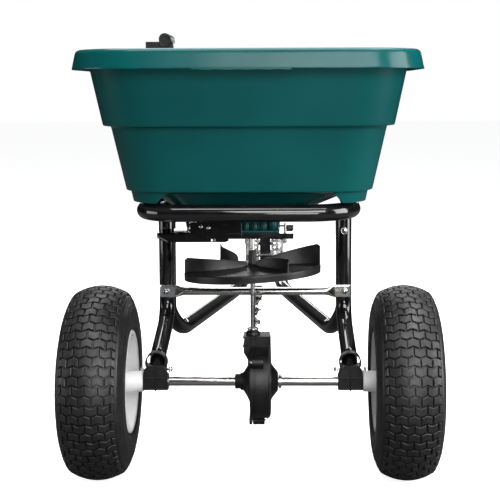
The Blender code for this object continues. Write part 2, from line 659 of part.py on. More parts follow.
def build_gate():
    gate = box("gate_plate", BLACK_PAINT, (-0.062, -0.045, GATE_Z - 0.0015), (0.057, 0.045, GATE_Z + 0.0015))
    arm = box("arm", None, (-0.1560, -0.0120, GATE_Z - 0.0014), (-0.050, 0.0120, GATE_Z + 0.0014), group=cutters)
    reach = box("reach", None, (-0.1310, 0.002, GATE_Z - 0.0013), (-0.1110, LEVER_Y + 0.0100, GATE_Z + 0.0013), group=cutters)
    tab = box("tab", None, (-0.1560, -0.0120, GATE_Z - 0.0150), (-0.1532, 0.0120, GATE_Z + 0.0012), group=cutters)
    end = box("end", None, (0.0330, -0.0285, GATE_Z - 0.0120), (0.0555, -0.0255, GATE_Z + 0.0012), group=cutters)
    pad = box("pad", None, (-0.1510, LEVER_Y - 0.0125, GATE_Z - 0.0012), (-0.1120, LEVER_Y + 0.0120, GATE_Z + 0.0012),
              group=cutters)
    joined(gate, arm, reach, tab, end, pad)
    lever_slot = box("lever_slot", None, (-0.1431, LEVER_Y - 0.0052, 0.42), (-0.1307, LEVER_Y + 0.0052, 0.44), group=cutters)
    combine(gate, lever_slot, "DIFFERENCE")
    slot = box("shaft_slot", None, (-0.0430, -0.0065, 0.42), (0.0065, 0.0065, 0.44), group=cutters)
    combine(gate, slot, "DIFFERENCE")
    guide = box("gate_guide", BLACK_PAINT, (-0.070, -0.0560, 0.4216), (-0.058, 0.0560, 0.4236))
    for y in (-1, 1):
        outer = (y * 0.0480, y * 0.0650)
        rail = box("rail", None, (-0.072, min(outer), 0.4206), (0.070, max(outer), 0.4300), group=cutters)
        step = (y * 0.0300, y * 0.0540)
        shelf = box("shelf", None, (-0.0705, min(step), 0.4211), (0.0685, max(step), 0.4246), group=cutters)
        joined(guide, rail, shelf)
    for x, y, side in ((-0.063, -0.0570, "left"), (0.056, -0.0570, "right")):
        bolt(side + "_guide_screw", ZINC, (x, y, 0.4206 - GAP), (x, y, 0.4375), 0.0022, 0.0042, nut=False)
        drill(guide, (x, y, 0.41), (x, y, 0.44), 0.0026, 12)
        drill(bpy.data.objects["hopper"], (x, y, 0.42), (x, y, 0.452), 0.0026, 12)


def build_lever():
    tip = Vector((-0.1390, LEVER_Y, 0.4185))
    pivot = Vector((LEVER_X, LEVER_Y, LEVER_Z))
    top = Vector((GRIP_X, LEVER_Y, GRIP_Z))
    lever = as_mesh(wire("control_lever", BLACK_PAINT, rounded_path([
        tip, pivot, top + Vector((0.0016, 0, -0.010)), top + Vector((0, 0.006, 0)), top + Vector((0, 0.064, 0)),
    ], [0.030, 0.0045, 0.0045], 3), 0.0042, 2))
    boss = rod("boss", None, pivot - Vector((0, 0.0075, 0)), pivot + Vector((0, 0.0075, 0)), 0.0105, 20, cutters)
    joined(lever, boss)
    drill(lever, pivot - Vector((0, 0.03, 0)), pivot + Vector((0, 0.03, 0)), 0.0038, 16)
    grip = rod("lever_grip", BLACK_PLASTIC, top + Vector((0, -0.0105, 0)), top + Vector((0, 0.072, 0)), 0.0112, 20)
    collar = box("collar", None, (GRIP_X - 0.036, LEVER_Y - 0.0090, 0.7420), (GRIP_X + 0.0155, LEVER_Y + 0.0090, 0.7555),
                 group=cutters)
    combine(grip, collar, "UNION")
    drill(grip, top + Vector((0, 0.0008, 0)), top + Vector((0, 0.0655, 0)), 0.0053, 16)
    hollow = box("hollow", None, (GRIP_X - 0.0060, LEVER_Y - 0.0060, 0.735), (GRIP_X + 0.0080, LEVER_Y + 0.0078, 0.7640),
                 group=cutters)
    combine(grip, hollow, "DIFFERENCE")

    bracket = box("lever_bracket", BLACK_PAINT, (-0.1780, 0.2205, 0.4580), (-0.0950, 0.2245, 0.5420))
    side_plate = box("side", None, (-0.1525, 0.0850, 0.4582), (-0.1490, 0.2240, 0.4818), group=cutters)
    combine(bracket, side_plate, "UNION")
    drill(bracket, (LEVER_X, 0.21, LEVER_Z), (LEVER_X, 0.24, LEVER_Z), 0.0038, 16)
    stop = Vector((-0.1579, 0, 0.5238))
    drill(bracket, (stop.x, 0.21, stop.z), (stop.x, 0.24, stop.z), 0.0030, 12)
    drill(bracket, (-0.16, 0.100, LOOP_Z), (-0.14, 0.100, LOOP_Z), 0.0035, 12)
    bolt("bracket_bolt", ZINC, (-LOOP_X - TUBE_R - GAP, 0.100, LOOP_Z), (-0.1490 + GAP, 0.100, LOOP_Z), 0.0030, 0.0055)
    bolt("lever_pivot_bolt", ZINC, (LEVER_X, LEVER_Y + 0.0079, LEVER_Z), (LEVER_X, 0.2205 - GAP, LEVER_Z), 0.0033, 0.0065)
    rod("rate_stop", ZINC, (stop.x, 0.2120, stop.z), (stop.x, 0.2420, stop.z), 0.0027, 12)
    nut = rod("rate_stop_knob", BLACK_PLASTIC, (stop.x, 0.2100, stop.z), (stop.x, 0.2202, stop.z), 0.0065, 12)
    combine(nut, box("wings", None, (stop.x - 0.0150, 0.2110, stop.z - 0.0022), (stop.x + 0.0150, 0.2175, stop.z + 0.0022),
                     group=cutters), "UNION")
    drill(nut, (stop.x, 0.20, stop.z), (stop.x, 0.23, stop.z), 0.0030, 12)


# Hitch

def build_hitch():
    plate_y = 0.850
    bracket = box("hitch_bracket", ZINC, (-0.0460, plate_y - 0.0300, 0.2596), (0.0460, POST_Y - 0.0160, 0.2626))
    for side in (-1, 1):
        low_x, high_x = sorted((side * 0.0434, side * 0.0462))
        flange = box("flange", None, (low_x, plate_y - 0.0290, 0.2225), (high_x, POST_Y + 0.0130, 0.3000), group=cutters)
        combine(bracket, flange, "UNION")
        low_x, high_x = sorted((side * 0.0158, side * 0.0459))
        face = box("face", None, (low_x, plate_y + 0.0370, 0.2400), (high_x, plate_y + 0.0395, 0.2990), group=cutters)
        combine(bracket, face, "UNION")
        for row in range(3):
            for column in (0.0240, 0.0350):
                z = 0.2700 + 0.0105 * row
                drill(bracket, (side * column, plate_y, z), (side * column, plate_y + 0.08, z), 0.0030, 8)
        name = "left" if side < 0 else "right"
        tube = bpy.data.objects[name + "_hitch_tube"]
        drill(tube, (side * 0.0285, 0.846, 0.20), (side * 0.0285, 0.846, 0.30), 0.0039, 14)
        drill(bracket, (side * 0.0285, 0.846, 0.25), (side * 0.0285, 0.846, 0.30), 0.0039, 14)
        bolt(name + "_hitch_bolt", ZINC, (side * 0.0285, 0.846, 0.2626 + GAP), (side * 0.0285, 0.846, 0.2286), 0.0034, 0.0065)
        drill(bracket, (side * 0.03, POST_Y, 0.284), (side * 0.06, POST_Y, 0.284), 0.0039, 14)
    post = box("hitch_post", BLACK_PAINT, (-0.0130, POST_Y - 0.0130, 0.2270), (0.0130, POST_Y + 0.0130, 0.3060), 0.002)
    drill(post, (-0.05, POST_Y, 0.284), (0.05, POST_Y, 0.284), 0.0039, 14)
    bolt("hitch_post_bolt", ZINC, (-0.0462 - GAP, POST_Y, 0.284), (0.0462 + GAP, POST_Y, 0.284), 0.0034, 0.0065)
    clevis = []
    for z in (0.2440, 0.2740):
        tongue = box("tongue", None, (-0.0190, POST_Y + 0.0110, z - 0.0025), (0.0190, POST_Y + 0.0600, z + 0.0025),
                     group=cutters)
        clevis.append(tongue)
    joined(post, *clevis)
    drill(post, (0, POST_Y + 0.0400, 0.22), (0, POST_Y + 0.0400, 0.30), 0.0068, 20)
    pin = rod("hitch_pin", ZINC, (0, POST_Y + 0.0400, 0.2260), (0, POST_Y + 0.0400, 0.2830), 0.0062, 16)
    head = rod("head", None, (0, POST_Y + 0.0400, 0.2769), (0, POST_Y + 0.0400, 0.2840), 0.0115, 16, cutters)
    joined(pin, head)


build_hopper()
build_frame()
build_crossbar()
build_bushings()
build_wheels()
build_gears()
build_gearbox()
build_stay()
build_spinner()
build_gate()
build_lever()
build_hitch()
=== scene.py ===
"""The looks of a tow-behind broadcast spreader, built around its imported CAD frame."""

import json
import math

import bmesh
import bpy
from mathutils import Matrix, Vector


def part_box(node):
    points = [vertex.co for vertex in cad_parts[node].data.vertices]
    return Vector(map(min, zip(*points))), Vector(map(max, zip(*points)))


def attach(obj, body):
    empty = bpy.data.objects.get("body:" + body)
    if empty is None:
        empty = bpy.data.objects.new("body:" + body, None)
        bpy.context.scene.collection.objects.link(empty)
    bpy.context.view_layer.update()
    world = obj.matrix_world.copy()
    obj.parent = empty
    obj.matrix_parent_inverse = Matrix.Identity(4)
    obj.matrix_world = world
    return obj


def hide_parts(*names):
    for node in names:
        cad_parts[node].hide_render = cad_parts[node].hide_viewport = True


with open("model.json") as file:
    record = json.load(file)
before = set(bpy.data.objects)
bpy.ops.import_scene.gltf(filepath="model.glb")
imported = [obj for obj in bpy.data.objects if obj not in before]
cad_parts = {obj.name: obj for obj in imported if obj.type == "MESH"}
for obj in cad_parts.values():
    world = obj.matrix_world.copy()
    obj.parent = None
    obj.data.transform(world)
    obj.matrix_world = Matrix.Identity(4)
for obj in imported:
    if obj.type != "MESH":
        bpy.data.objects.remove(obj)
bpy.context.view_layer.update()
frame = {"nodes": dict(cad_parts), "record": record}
NODES = frame["nodes"]
RECORD = frame["record"]
BODY_OF = {node: body for body, nodes in RECORD["behaviour"]["bodies"].items() for node in nodes}
SLOT_OF = {row["node"]: row["material_slot"] for row in RECORD["subparts"]}


def middle(node):
    low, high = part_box(node)
    return (low + high) / 2


def half_size(node):
    low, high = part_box(node)
    return (high - low) / 2


# Shapes are written in the axle's own frame: y is 0 at the axle's line, and the floor is at z 0.
AXLE_Y = middle("axle").y
AXLE_Z = middle("axle").z
AXLE_R = half_size("axle").z
WHEEL_X = middle("right_tyre").x
TYRE_R = half_size("right_tyre").z
TYRE_HALF = half_size("right_tyre").x
HUB_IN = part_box("right_rim")[0].x
HUB_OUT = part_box("right_rim")[1].x
RIM_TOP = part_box("hopper")[1].z - 0.0035
RIM_LOW = 0.6990
HOPPER_X = half_size("hopper").x
LESS_Y = HOPPER_X - half_size("hopper").y
HOPPER_OFFSET = -0.0020
HOPPER_LOW = 0.5040
NECK_X = -0.0240
FLANGE_TOP = 0.4350
FLANGE_LOW = 0.4305
SEAM_X = -0.083
TUBE_R = 0.0140
TUBE_WALL = 0.0018
LOOP_Z = middle("support_loop").z
LOOP_X = half_size("support_loop").x - TUBE_R
LOOP_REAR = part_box("support_loop")[0].y - AXLE_Y + TUBE_R
LOOP_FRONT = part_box("support_loop")[1].y - AXLE_Y
LOOP_SPLAY = 0.009
LEG_X = 0.162
LEG_Y = 0.137
LEG_FOOT = Vector((0.166, 0.016, 0.198))
HITCH_TUBE_Y = LEG_Y + 2 * TUBE_R + 0.0004
HITCH_TUBE_TOP = 0.440
CROSSBAR = middle("crossbar")
DISC_R = half_size("spinner_disc").x
DISC_Z = 0.357
SHAFT_R = 0.0042
SLACK = 0.0003
SIDES = ((-1, "left"), (1, "right"))


# Materials

class Nodes:
    """A small writer for a material's node tree."""

    def __init__(self, name):
        self.material = bpy.data.materials.new(name)
        self.material.use_nodes = True
        self.tree = self.material.node_tree
        self.shader = self.tree.nodes["Principled BSDF"]
        self.place = self.tree.nodes.new("ShaderNodeTexCoord").outputs["Object"]

    def link(self, source, target):
        self.tree.links.new(source, target)

    def noise(self, scale, detail=3.0, stretch=None, roughness=0.5):
        node = self.tree.nodes.new("ShaderNodeTexNoise")
        node.inputs["Scale"].default_value = scale
        node.inputs["Detail"].default_value = detail
        node.inputs["Roughness"].default_value = roughness
        source = self.place
        if stretch:
            mapping = self.tree.nodes.new("ShaderNodeMapping")
            mapping.inputs["Scale"].default_value = stretch
            self.link(source, mapping.inputs["Vector"])
            source = mapping.outputs["Vector"]
        self.link(source, node.inputs["Vector"])
        return node.outputs["Fac"]

    def ramp(self, source, low, high, start, end):
        """Maps source from low..high to start..end, clamped."""
        node = self.tree.nodes.new("ShaderNodeMapRange")
        node.inputs["From Min"].default_value = low
        node.inputs["From Max"].default_value = high
        node.inputs["To Min"].default_value = start
        node.inputs["To Max"].default_value = end
        self.link(source, node.inputs["Value"])
        return node.outputs["Result"]

    def mix(self, share, first, second):
        node = self.tree.nodes.new("ShaderNodeMix")
        node.data_type = "RGBA"
        self.link(share, node.inputs["Factor"])
        for socket, value in (("A", first), ("B", second)):
            target = [s for s in node.inputs if s.name == socket and s.type == "RGBA"][0]
            target.default_value = (*value, 1.0)
        return [s for s in node.outputs if s.type == "RGBA"][0]

    def bump(self, height, strength, distance, under=None):
        node = self.tree.nodes.new("ShaderNodeBump")
        node.inputs["Strength"].default_value = strength
        node.inputs["Distance"].default_value = distance
        self.link(height, node.inputs["Height"])
        if under is not None:
            self.link(under, node.inputs["Normal"])
        return node.outputs["Normal"]

    def set(self, **values):
        for name, value in values.items():
            socket = self.shader.inputs[name.replace("_", " ")]
            if isinstance(value, bpy.types.NodeSocket):
                self.link(value, socket)
            else:
                socket.default_value = value


def make_finish(name, mottle, gloss, grain, sag=None, **values):
    """A material with mottled colour, uneven gloss and a fine bumped grain.

    mottle is (noise, low, high, first colour, second colour), gloss is (noise, low, high, least roughness, most),
    and grain and sag are (noise, strength, distance). A noise is the arguments of Nodes.noise.
    """
    made = Nodes(name)
    noise, low, high, first, second = mottle
    colour = made.mix(made.ramp(made.noise(*noise), low, high, 0.0, 1.0), first, second)
    rough = made.ramp(made.noise(*gloss[0]), *gloss[1:])
    under = made.bump(made.noise(*sag[0]), *sag[1:]) if sag else None
    normal = made.bump(made.noise(*grain[0]), *grain[1:], under)
    made.set(Base_Color=colour, Roughness=rough, Normal=normal, **values)
    return made.material


FINISHES = {
    "green_plastic": make_finish(
        "green_hopper_plastic", ((5.0, 2.0), 0.35, 0.65, (0.0010, 0.063, 0.063), (0.0016, 0.079, 0.080)),
        ((60.0, 5.0, None, 0.6), 0.40, 0.75, 0.20, 0.27), ((700.0, 2.0), 0.05, 0.0004),
        sag=((9.0, 1.0), 0.16, 0.0060), Specular_IOR_Level=0.26),
    "black_paint": make_finish(
        "black_powder_coat", ((30.0, 3.0), 0.4, 0.7, (0.0040, 0.0040, 0.0046), (0.0075, 0.0075, 0.0082)),
        ((60.0, 4.0), 0.35, 0.75, 0.08, 0.15), ((420.0, 2.0), 0.05, 0.0004),
        Coat_Weight=0.5, Coat_Roughness=0.03),
    "black_plastic": make_finish(
        "black_moulded_plastic", ((45.0, 4.0), 0.4, 0.7, (0.0055, 0.0055, 0.0060), (0.0105, 0.0105, 0.0112)),
        ((90.0, 3.0), 0.35, 0.7, 0.34, 0.46), ((1500.0, 2.0), 0.22, 0.0003), Specular_IOR_Level=0.40),
    "zinc_steel": make_finish(
        "bright_zinc_plate", ((26.0, 3.0, (1.0, 2.5, 2.5)), 0.38, 0.66, (0.60, 0.61, 0.63), (0.68, 0.65, 0.60)),
        ((130.0, 4.0, (0.3, 2.0, 2.0)), 0.3, 0.8, 0.10, 0.24), ((900.0, 3.0, (0.05, 1.0, 1.0)), 0.10, 0.0003),
        Metallic=1.0),
    "white_rim": make_finish(
        "white_rim_paint", ((22.0, 4.0), 0.45, 0.75, (0.88, 0.88, 0.88), (0.80, 0.80, 0.79)),
        ((80.0, 3.0), 0.35, 0.7, 0.30, 0.45), ((500.0, 2.0), 0.06, 0.0004)),
    "tyre_rubber": make_finish(
        "black_tyre_rubber", ((55.0, 5.0), 0.42, 0.72, (0.0070, 0.0070, 0.0074), (0.0150, 0.0148, 0.0146)),
        ((120.0, 4.0), 0.35, 0.7, 0.36, 0.54), ((900.0, 3.0), 0.30, 0.0005)),
}


# Making pieces

def show(name, work, stands_for=(), body=None, slot=None, sharp=32.0, bevel=0.0):
    """Turns a bmesh into a piece that rides its CAD nodes' body and stands for them."""
    body = body or BODY_OF[stands_for[0]]
    slot = slot or SLOT_OF[stands_for[0]]
    bmesh.ops.translate(work, verts=work.verts, vec=(0.0, AXLE_Y, 0.0))
    bmesh.ops.recalc_face_normals(work, faces=work.faces)
    mesh = bpy.data.meshes.new(name)
    work.to_mesh(mesh)
    work.free()
    mesh.shade_smooth()
    if not bevel:
        mesh.set_sharp_from_angle(angle=math.radians(sharp))
    mesh.materials.append(FINISHES[slot])
    made = bpy.data.objects.new(name, mesh)
    bpy.context.scene.collection.objects.link(made)
    if bevel:
        round_edges(made, bevel, sharp)
    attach(made, body)
    if stands_for:
        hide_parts(*stands_for)
    return made


def round_edges(made, width, sharp=32.0, segments=3):
    edge = made.modifiers.new("rounded edges", "BEVEL")
    edge.width = width
    edge.segments = segments
    edge.limit_method = "ANGLE"
    edge.angle_limit = math.radians(sharp)
    edge.harden_normals = True


def skin(work, lower, upper):
    """Joins two rings of vertices with a band of faces."""
    for i, here in enumerate(lower):
        after = (i + 1) % len(lower)
        work.faces.new((here, lower[after], upper[after], upper[i]))


def add_loft(work, rings, closed=False):
    """Skins a row of point rings; closed joins the last ring to the first."""
    made = [[work.verts.new(point) for point in ring] for ring in rings]
    pairs = list(zip(made, made[1:]))
    if closed:
        pairs.append((made[-1], made[0]))
    else:
        work.faces.new(made[0])
        work.faces.new(made[-1])
    for lower, upper in pairs:
        skin(work, lower, upper)


def round_angles(count):
    """Evenly spaced angles once round, from 0."""
    return [2 * math.pi * step / count for step in range(count)]


def circle(centre, across, up, radius, sides):
    return [centre + (across * math.cos(a) + up * math.sin(a)) * radius for a in round_angles(sides)]


def upright(points, y):
    """A ring in the plane at y, from (x, z) points."""
    return [Vector((x, y, z)) for x, z in points]


def add_turned(work, profile, centre, axis="X", sides=64, closed=True):
    """Turns a loop of (radius, along) points round an axis."""
    units = [Vector((1, 0, 0)), Vector((0, 1, 0)), Vector((0, 0, 1))]
    first = "XYZ".index(axis)
    ahead, across, up = units[first:] + units[:first]
    centre = Vector(centre)
    add_loft(work, [circle(centre + ahead * along, across, up, radius, sides) for radius, along in profile],
             closed=closed)


def softened(profile, radius, steps=3, closed=True):
    """The same outline with its corners rounded; each point is a tuple of any length."""
    points = [Vector(point) for point in profile]
    count = len(points)
    smooth = []
    for i, corner in enumerate(points):
        if not closed and i in (0, count - 1):
            smooth.append(corner)
            continue
        before, after = points[i - 1], points[(i + 1) % count]
        back, ahead = before - corner, after - corner
        start = corner + back * min(0.45, radius / back.length)
        end = corner + ahead * min(0.45, radius / ahead.length)
        for step in range(steps + 1):
            t = step / steps
            smooth.append(start * (1 - t) ** 2 + corner * 2 * t * (1 - t) + end * t ** 2)
    return smooth


def rounded_path(corners, radii, steps):
    """Straight runs between the corner points, with an arc of its own radius at each inner corner."""
    corners = [Vector(corner) for corner in corners]
    path = [corners[0]]
    for before, corner, after, bend in zip(corners, corners[1:], corners[2:], radii):
        back = (before - corner).normalized()
        ahead = (after - corner).normalized()
        half = back.angle(ahead) / 2
        centre = corner + (back + ahead).normalized() * (bend / math.sin(half))
        reach = bend / math.tan(half)
        start = (corner + back * reach - centre).normalized()
        end = (corner + ahead * reach - centre).normalized()
        path += [centre + start.slerp(end, step / steps) * bend for step in range(steps + 1)]
    path.append(corners[-1])
    return path


def frames_along(path):
    """(point, ahead, across, up) at each point of a path, carried along without twist."""
    rows = []
    across = None
    for i, point in enumerate(path):
        ahead = (path[min(i + 1, len(path) - 1)] - path[max(i - 1, 0)]).normalized()
        if across is None:
            across = Vector((1, 0, 0)) if abs(ahead.x) < 0.8 else Vector((0, 1, 0))
        across = (across - ahead * across.dot(ahead)).normalized()
        rows.append((point, ahead, across, ahead.cross(across)))
    return rows


def add_tube(work, path, radius, wall=0.0, sides=36):
    """A round tube along a path: solid, or open at both ends with the given wall."""
    rows = frames_along(path)
    edge = min(0.0006, radius * 0.12)
    first, last = rows[0], rows[-1]
    rings = [circle(p, a, u, radius, sides) for p, _, a, u in rows[1:-1]]

    def ring(row, inward, size):
        point, ahead, across, up = row
        return circle(point + ahead * inward, across, up, size, sides)

    head = [ring(first, edge, radius), ring(first, 0.0, radius - edge)]
    tail = [ring(last, -edge, radius), ring(last, 0.0, radius - edge)]
    if wall:
        inner, depth = radius - wall, 0.030
        head += [ring(first, 0.0, inner + edge / 2), ring(first, edge, inner), ring(first, depth, inner)]
        tail += [ring(last, 0.0, inner + edge / 2), ring(last, -edge, inner), ring(last, -depth, inner)]
    add_loft(work, head[::-1] + rings + tail)


def add_box(work, low, high):
    low, high = Vector(low), Vector(high)
    made = bmesh.ops.create_cube(work, size=1.0)["verts"]
    bmesh.ops.scale(work, vec=high - low, verts=made)
    bmesh.ops.translate(work, vec=(low + high) / 2, verts=made)


def add_rod(work, start, end, radius, sides=32, end_radius=None, edge=0.0004):
    """A cylinder or cone between two points, with its rims broken."""
    start, end = Vector(start), Vector(end)
    ahead = (end - start).normalized()
    across = ahead.orthogonal().normalized()
    up = ahead.cross(across)
    far = radius if end_radius is None else end_radius
    add_loft(work, [
        circle(start, across, up, radius - edge, sides),
        circle(start + ahead * edge, across, up, radius, sides),
        circle(end - ahead * edge, across, up, far, sides),
        circle(end, across, up, far - edge, sides),
    ])


def rounded_rectangle(half_x, half_y, radius, z, centre_x=0.0, corner_steps=14, side_steps=10):
    """A ring of points at height z, counter-clockwise from the start of the +X +Y corner."""
    def at(quarter, angle):
        side_x, side_y = ((1, 1), (-1, 1), (-1, -1), (1, -1))[quarter % 4]
        return Vector((centre_x + side_x * (half_x - radius) + radius * math.cos(angle),
                       side_y * (half_y - radius) + radius * math.sin(angle), z))

    points = []
    for quarter in range(4):
        points += [at(quarter, math.pi / 2 * (quarter + step / corner_steps)) for step in range(corner_steps + 1)]
        start, end = points[-1], at(quarter + 1, math.pi / 2 * (quarter + 1))
        points += [start.lerp(end, step / side_steps) for step in range(1, side_steps)]
    return points


# Hopper

def tub(half_x, z, corner):
    """A ring of the hopper: (half_x, half_y, corner, z, centre_x)."""
    return (half_x, half_x - LESS_Y, corner, z, HOPPER_OFFSET)


def make_hopper():
    inner = [
        (0.0645, 0.048, 0.026, 0.4345, NECK_X), (0.067, 0.052, 0.030, 0.451, NECK_X + 0.002),
        (0.162, 0.094, 0.055, 0.5025, HOPPER_OFFSET),
        tub(0.1965, 0.5090, 0.064), tub(0.2195, 0.6105, 0.080), tub(0.2316, 0.6128, 0.086),
        tub(0.2540, 0.7180, 0.095), tub(0.2575, 0.7255, 0.098), tub(0.2620, RIM_TOP, 0.101),
    ]
    lip = [
        tub(0.2700, RIM_TOP, 0.107), tub(0.2738, RIM_TOP - 0.0028, 0.109), tub(0.2752, RIM_TOP - 0.0068, 0.110),
        tub(HOPPER_X, RIM_LOW, 0.114), tub(HOPPER_X - 0.0004, RIM_LOW - 0.0018, 0.114),
        tub(0.2773, RIM_LOW - 0.0012, 0.112), tub(0.2735, 0.7180, 0.110), tub(0.2690, 0.7240, 0.107),
        tub(0.2640, 0.7240, 0.102),
    ]
    outer = [
        tub(0.2574, 0.7170, 0.098), tub(0.2358, 0.6110, 0.088), tub(0.2345, 0.6086, 0.088),
        tub(0.2248, 0.6080, 0.083), tub(0.2232, 0.6055, 0.082),
        tub(0.2014, HOPPER_LOW + 0.0022, 0.068), tub(0.2004, HOPPER_LOW, 0.067),
        tub(0.1945, HOPPER_LOW - 0.0010, 0.064),
        (0.166, 0.098, 0.058, 0.4985, HOPPER_OFFSET), (0.071, 0.056, 0.033, 0.449, NECK_X + 0.002),
        (0.0690, 0.054, 0.031, 0.4360, NECK_X),
        (0.0705, 0.067, 0.012, FLANGE_TOP, NECK_X), (0.0705, 0.067, 0.012, FLANGE_LOW, NECK_X),
        (0.0620, 0.050, 0.010, FLANGE_LOW, NECK_X),
    ]
    work = bmesh.new()
    add_loft(work, [rounded_rectangle(*ring) for ring in softened(inner + lip + outer, 0.0022)], closed=True)
    add_floor(work)
    add_skirts(work)
    add_bosses(work)
    show("hopper_shell", work, ["hopper"], sharp=60)
    add_mould_seam()


def add_floor(work):
    """The hopper's floor: a plate with the shaft's hole and the two outlets between its halves."""
    low, high = FLANGE_LOW + 0.0002, FLANGE_TOP
    left, right = NECK_X - 0.0685, NECK_X + 0.0685
    near, far, slot_y, hole = 0.0150, 0.0530, 0.0152, 0.0112
    add_box(work, (left, -far, low), (right, -near, high))
    add_box(work, (left, near, low), (right, far, high))
    for start, end in ((left, -0.0490), (-0.0190, -hole), (hole, 0.0190), (0.0400, right)):
        add_box(work, (start, -slot_y, low + 0.0001), (end, slot_y, high - 0.0001))


def skirt_depth(x, y):
    """1 round the hopper's corners and 0 along its sides, with a sloped cut between."""
    along = min(1.0, max(0.0, (abs(x) - 0.131) / 0.017))
    aside = min(1.0, max(0.0, (abs(y) - 0.060) / 0.012))
    return min(along, aside)


def add_skirts(work):
    """Four corner skirts that hang from the hopper's lower edge and rest on the support loop."""
    top = 0.5048
    band = [
        (0.1945, top, 0.064), (0.1922, 0.4940, 0.063), (0.1908, 0.4870, 0.062), (0.1900, 0.4852, 0.061),
        (0.1760, 0.4852, 0.052), (0.1752, 0.4866, 0.051), (0.1880, 0.4890, 0.059), (0.1893, 0.4960, 0.061),
        (0.1912, top, 0.062),
    ]
    rings = []
    rest = rounded_rectangle(*tub(0.1925, HOPPER_LOW, 0.063), 28, 16)
    for half_x, z, corner in band:
        ring = rounded_rectangle(*tub(half_x, z, corner), 28, 16)
        rings.append([high.lerp(low, skirt_depth(low.x, low.y)) for low, high in zip(ring, rest)])
    add_loft(work, rings, closed=True)


def add_bosses(work):
    """Screw bosses and ribs round the neck, down to the gate's rails."""
    base = FLANGE_LOW + 0.0001
    for x, y in ((-0.080, -0.050), (0.0360, -0.0570), (-0.080, 0.050), (0.0360, 0.0570)):
        add_rod(work, (x, y, base), (x, y, 0.4560), 0.0068, 28)
    for x in (-0.008, 0.006, 0.021):
        add_rod(work, (x, -0.0600, base), (x, -0.0580, 0.4540), 0.0058, 24)
    for x in (-0.056, -0.040, -0.024):
        add_box(work, (x - 0.0012, -0.0664, base), (x + 0.0012, -0.0500, 0.4500))


def add_mould_seam():
    """A raised parting line down the rim's outer face, and a strip of flash along its lower edge beside it."""
    face = HOPPER_X - LESS_Y
    for side, name in ((-1, "rear"), (1, "front")):
        work = bmesh.new()
        rings = []
        for z, inset in ((RIM_TOP, 0.0110), (RIM_TOP - 0.0020, 0.0066), (RIM_TOP - 0.0068, 0.0048), (RIM_LOW, 0.0)):
            y = side * (face - inset)
            rings.append([Vector((SEAM_X + x, y + side * out, z))
                          for x, out in ((-0.0007, -0.002), (0.0007, -0.002), (0.0003, 0.0004), (-0.0003, 0.0004))])
        add_loft(work, rings)
        rings = []
        length, steps = 0.150, 18
        for step in range(steps + 1):
            x = SEAM_X + length * step / steps
            low, high = RIM_LOW - 0.0030 + 0.0006 * math.sin(step * 1.7), RIM_LOW + 0.0006
            rings.append([Vector((x, side * (face + out), z))
                          for out, z in ((-0.0012, low), (0.0003, low), (0.0001, high), (-0.0012, high))])
        add_loft(work, rings)
        show("hopper_parting_line_" + name, work, body="frame", slot="green_plastic")


# Frame

def make_frame():
    work = bmesh.new()
    add_tube(work, rounded_path([
        (-LOOP_X, LOOP_FRONT, LOOP_Z), (-LOOP_X, LEG_Y, LOOP_Z), (-LOOP_X - LOOP_SPLAY, LOOP_REAR, LOOP_Z),
        (LOOP_X, LOOP_REAR, LOOP_Z), (LOOP_X, LOOP_FRONT, LOOP_Z),
    ], [0.60, 0.062, 0.075], 20), TUBE_R, TUBE_WALL)
    show("support_loop_tube", work, ["support_loop"])
    top = LOOP_Z - TUBE_R + 0.0006
    for side, name in SIDES:
        foot = Vector((side * LEG_FOOT.x, LEG_FOOT.y, LEG_FOOT.z))
        work = bmesh.new()
        add_tube(work, rounded_path([
            (side * LEG_X, LEG_Y, top), (side * LEG_X, LEG_Y, 0.250),
            foot + Vector((0.0, 0.004, 0.006)), foot - Vector((0.0, 0.008, 0.014)),
        ], [0.050, 0.026], 14), TUBE_R, TUBE_WALL)
        show(name + "_leg_tube", work, [name + "_leg"])
        work = bmesh.new()
        add_tube(work, rounded_path([
            (side * LEG_X, HITCH_TUBE_Y, HITCH_TUBE_TOP), (side * LEG_X, HITCH_TUBE_Y, 0.256),
            (side * 0.144, 0.192, 0.2125), (side * 0.050, 0.500, 0.2348),
            (side * 0.0285, 0.760, 0.2410), (side * 0.0285, 0.880, 0.2440),
        ], [0.034, 0.058, 0.45, 0.25], 14), TUBE_R, TUBE_WALL)
        show(name + "_hitch_pipe", work, [name + "_hitch_tube"])
        add_weld(name + "_leg_weld", (side * LEG_X, LEG_Y, LOOP_Z - TUBE_R - 0.0004), TUBE_R)
        add_plug(name + "_loop_plug", (side * LOOP_X, LOOP_FRONT, LOOP_Z), "Y")
        add_plug(name + "_hitch_tube_plug", (side * LEG_X, HITCH_TUBE_Y, HITCH_TUBE_TOP), "Z")


def add_weld(name, centre, radius):
    """A bead of rippled weld round a tube's end."""
    work = bmesh.new()
    up = Vector((0, 0, 1))
    rings = []
    for angle in round_angles(72):
        out = Vector((math.cos(angle), math.sin(angle), 0.0))
        size = 0.0019 + 0.0004 * math.sin(angle * 18)
        rings.append(circle(Vector(centre) + out * (radius - 0.0004), out, up, size, 8))
    add_loft(work, rings, closed=True)
    show(name, work, body="frame", slot="black_paint", sharp=80)


def add_plug(name, centre, axis):
    """A black cap pressed into a tube's open end."""
    work = bmesh.new()
    add_turned(work, [(0.00005, 0.0026), (0.0080, 0.0024), (0.0118, 0.0016), (0.0124, 0.0004), (0.0118, 0.0),
                      (0.0118, -0.010), (0.00005, -0.010)], centre, axis, 36)
    show(name, work, body="frame", slot="black_plastic")


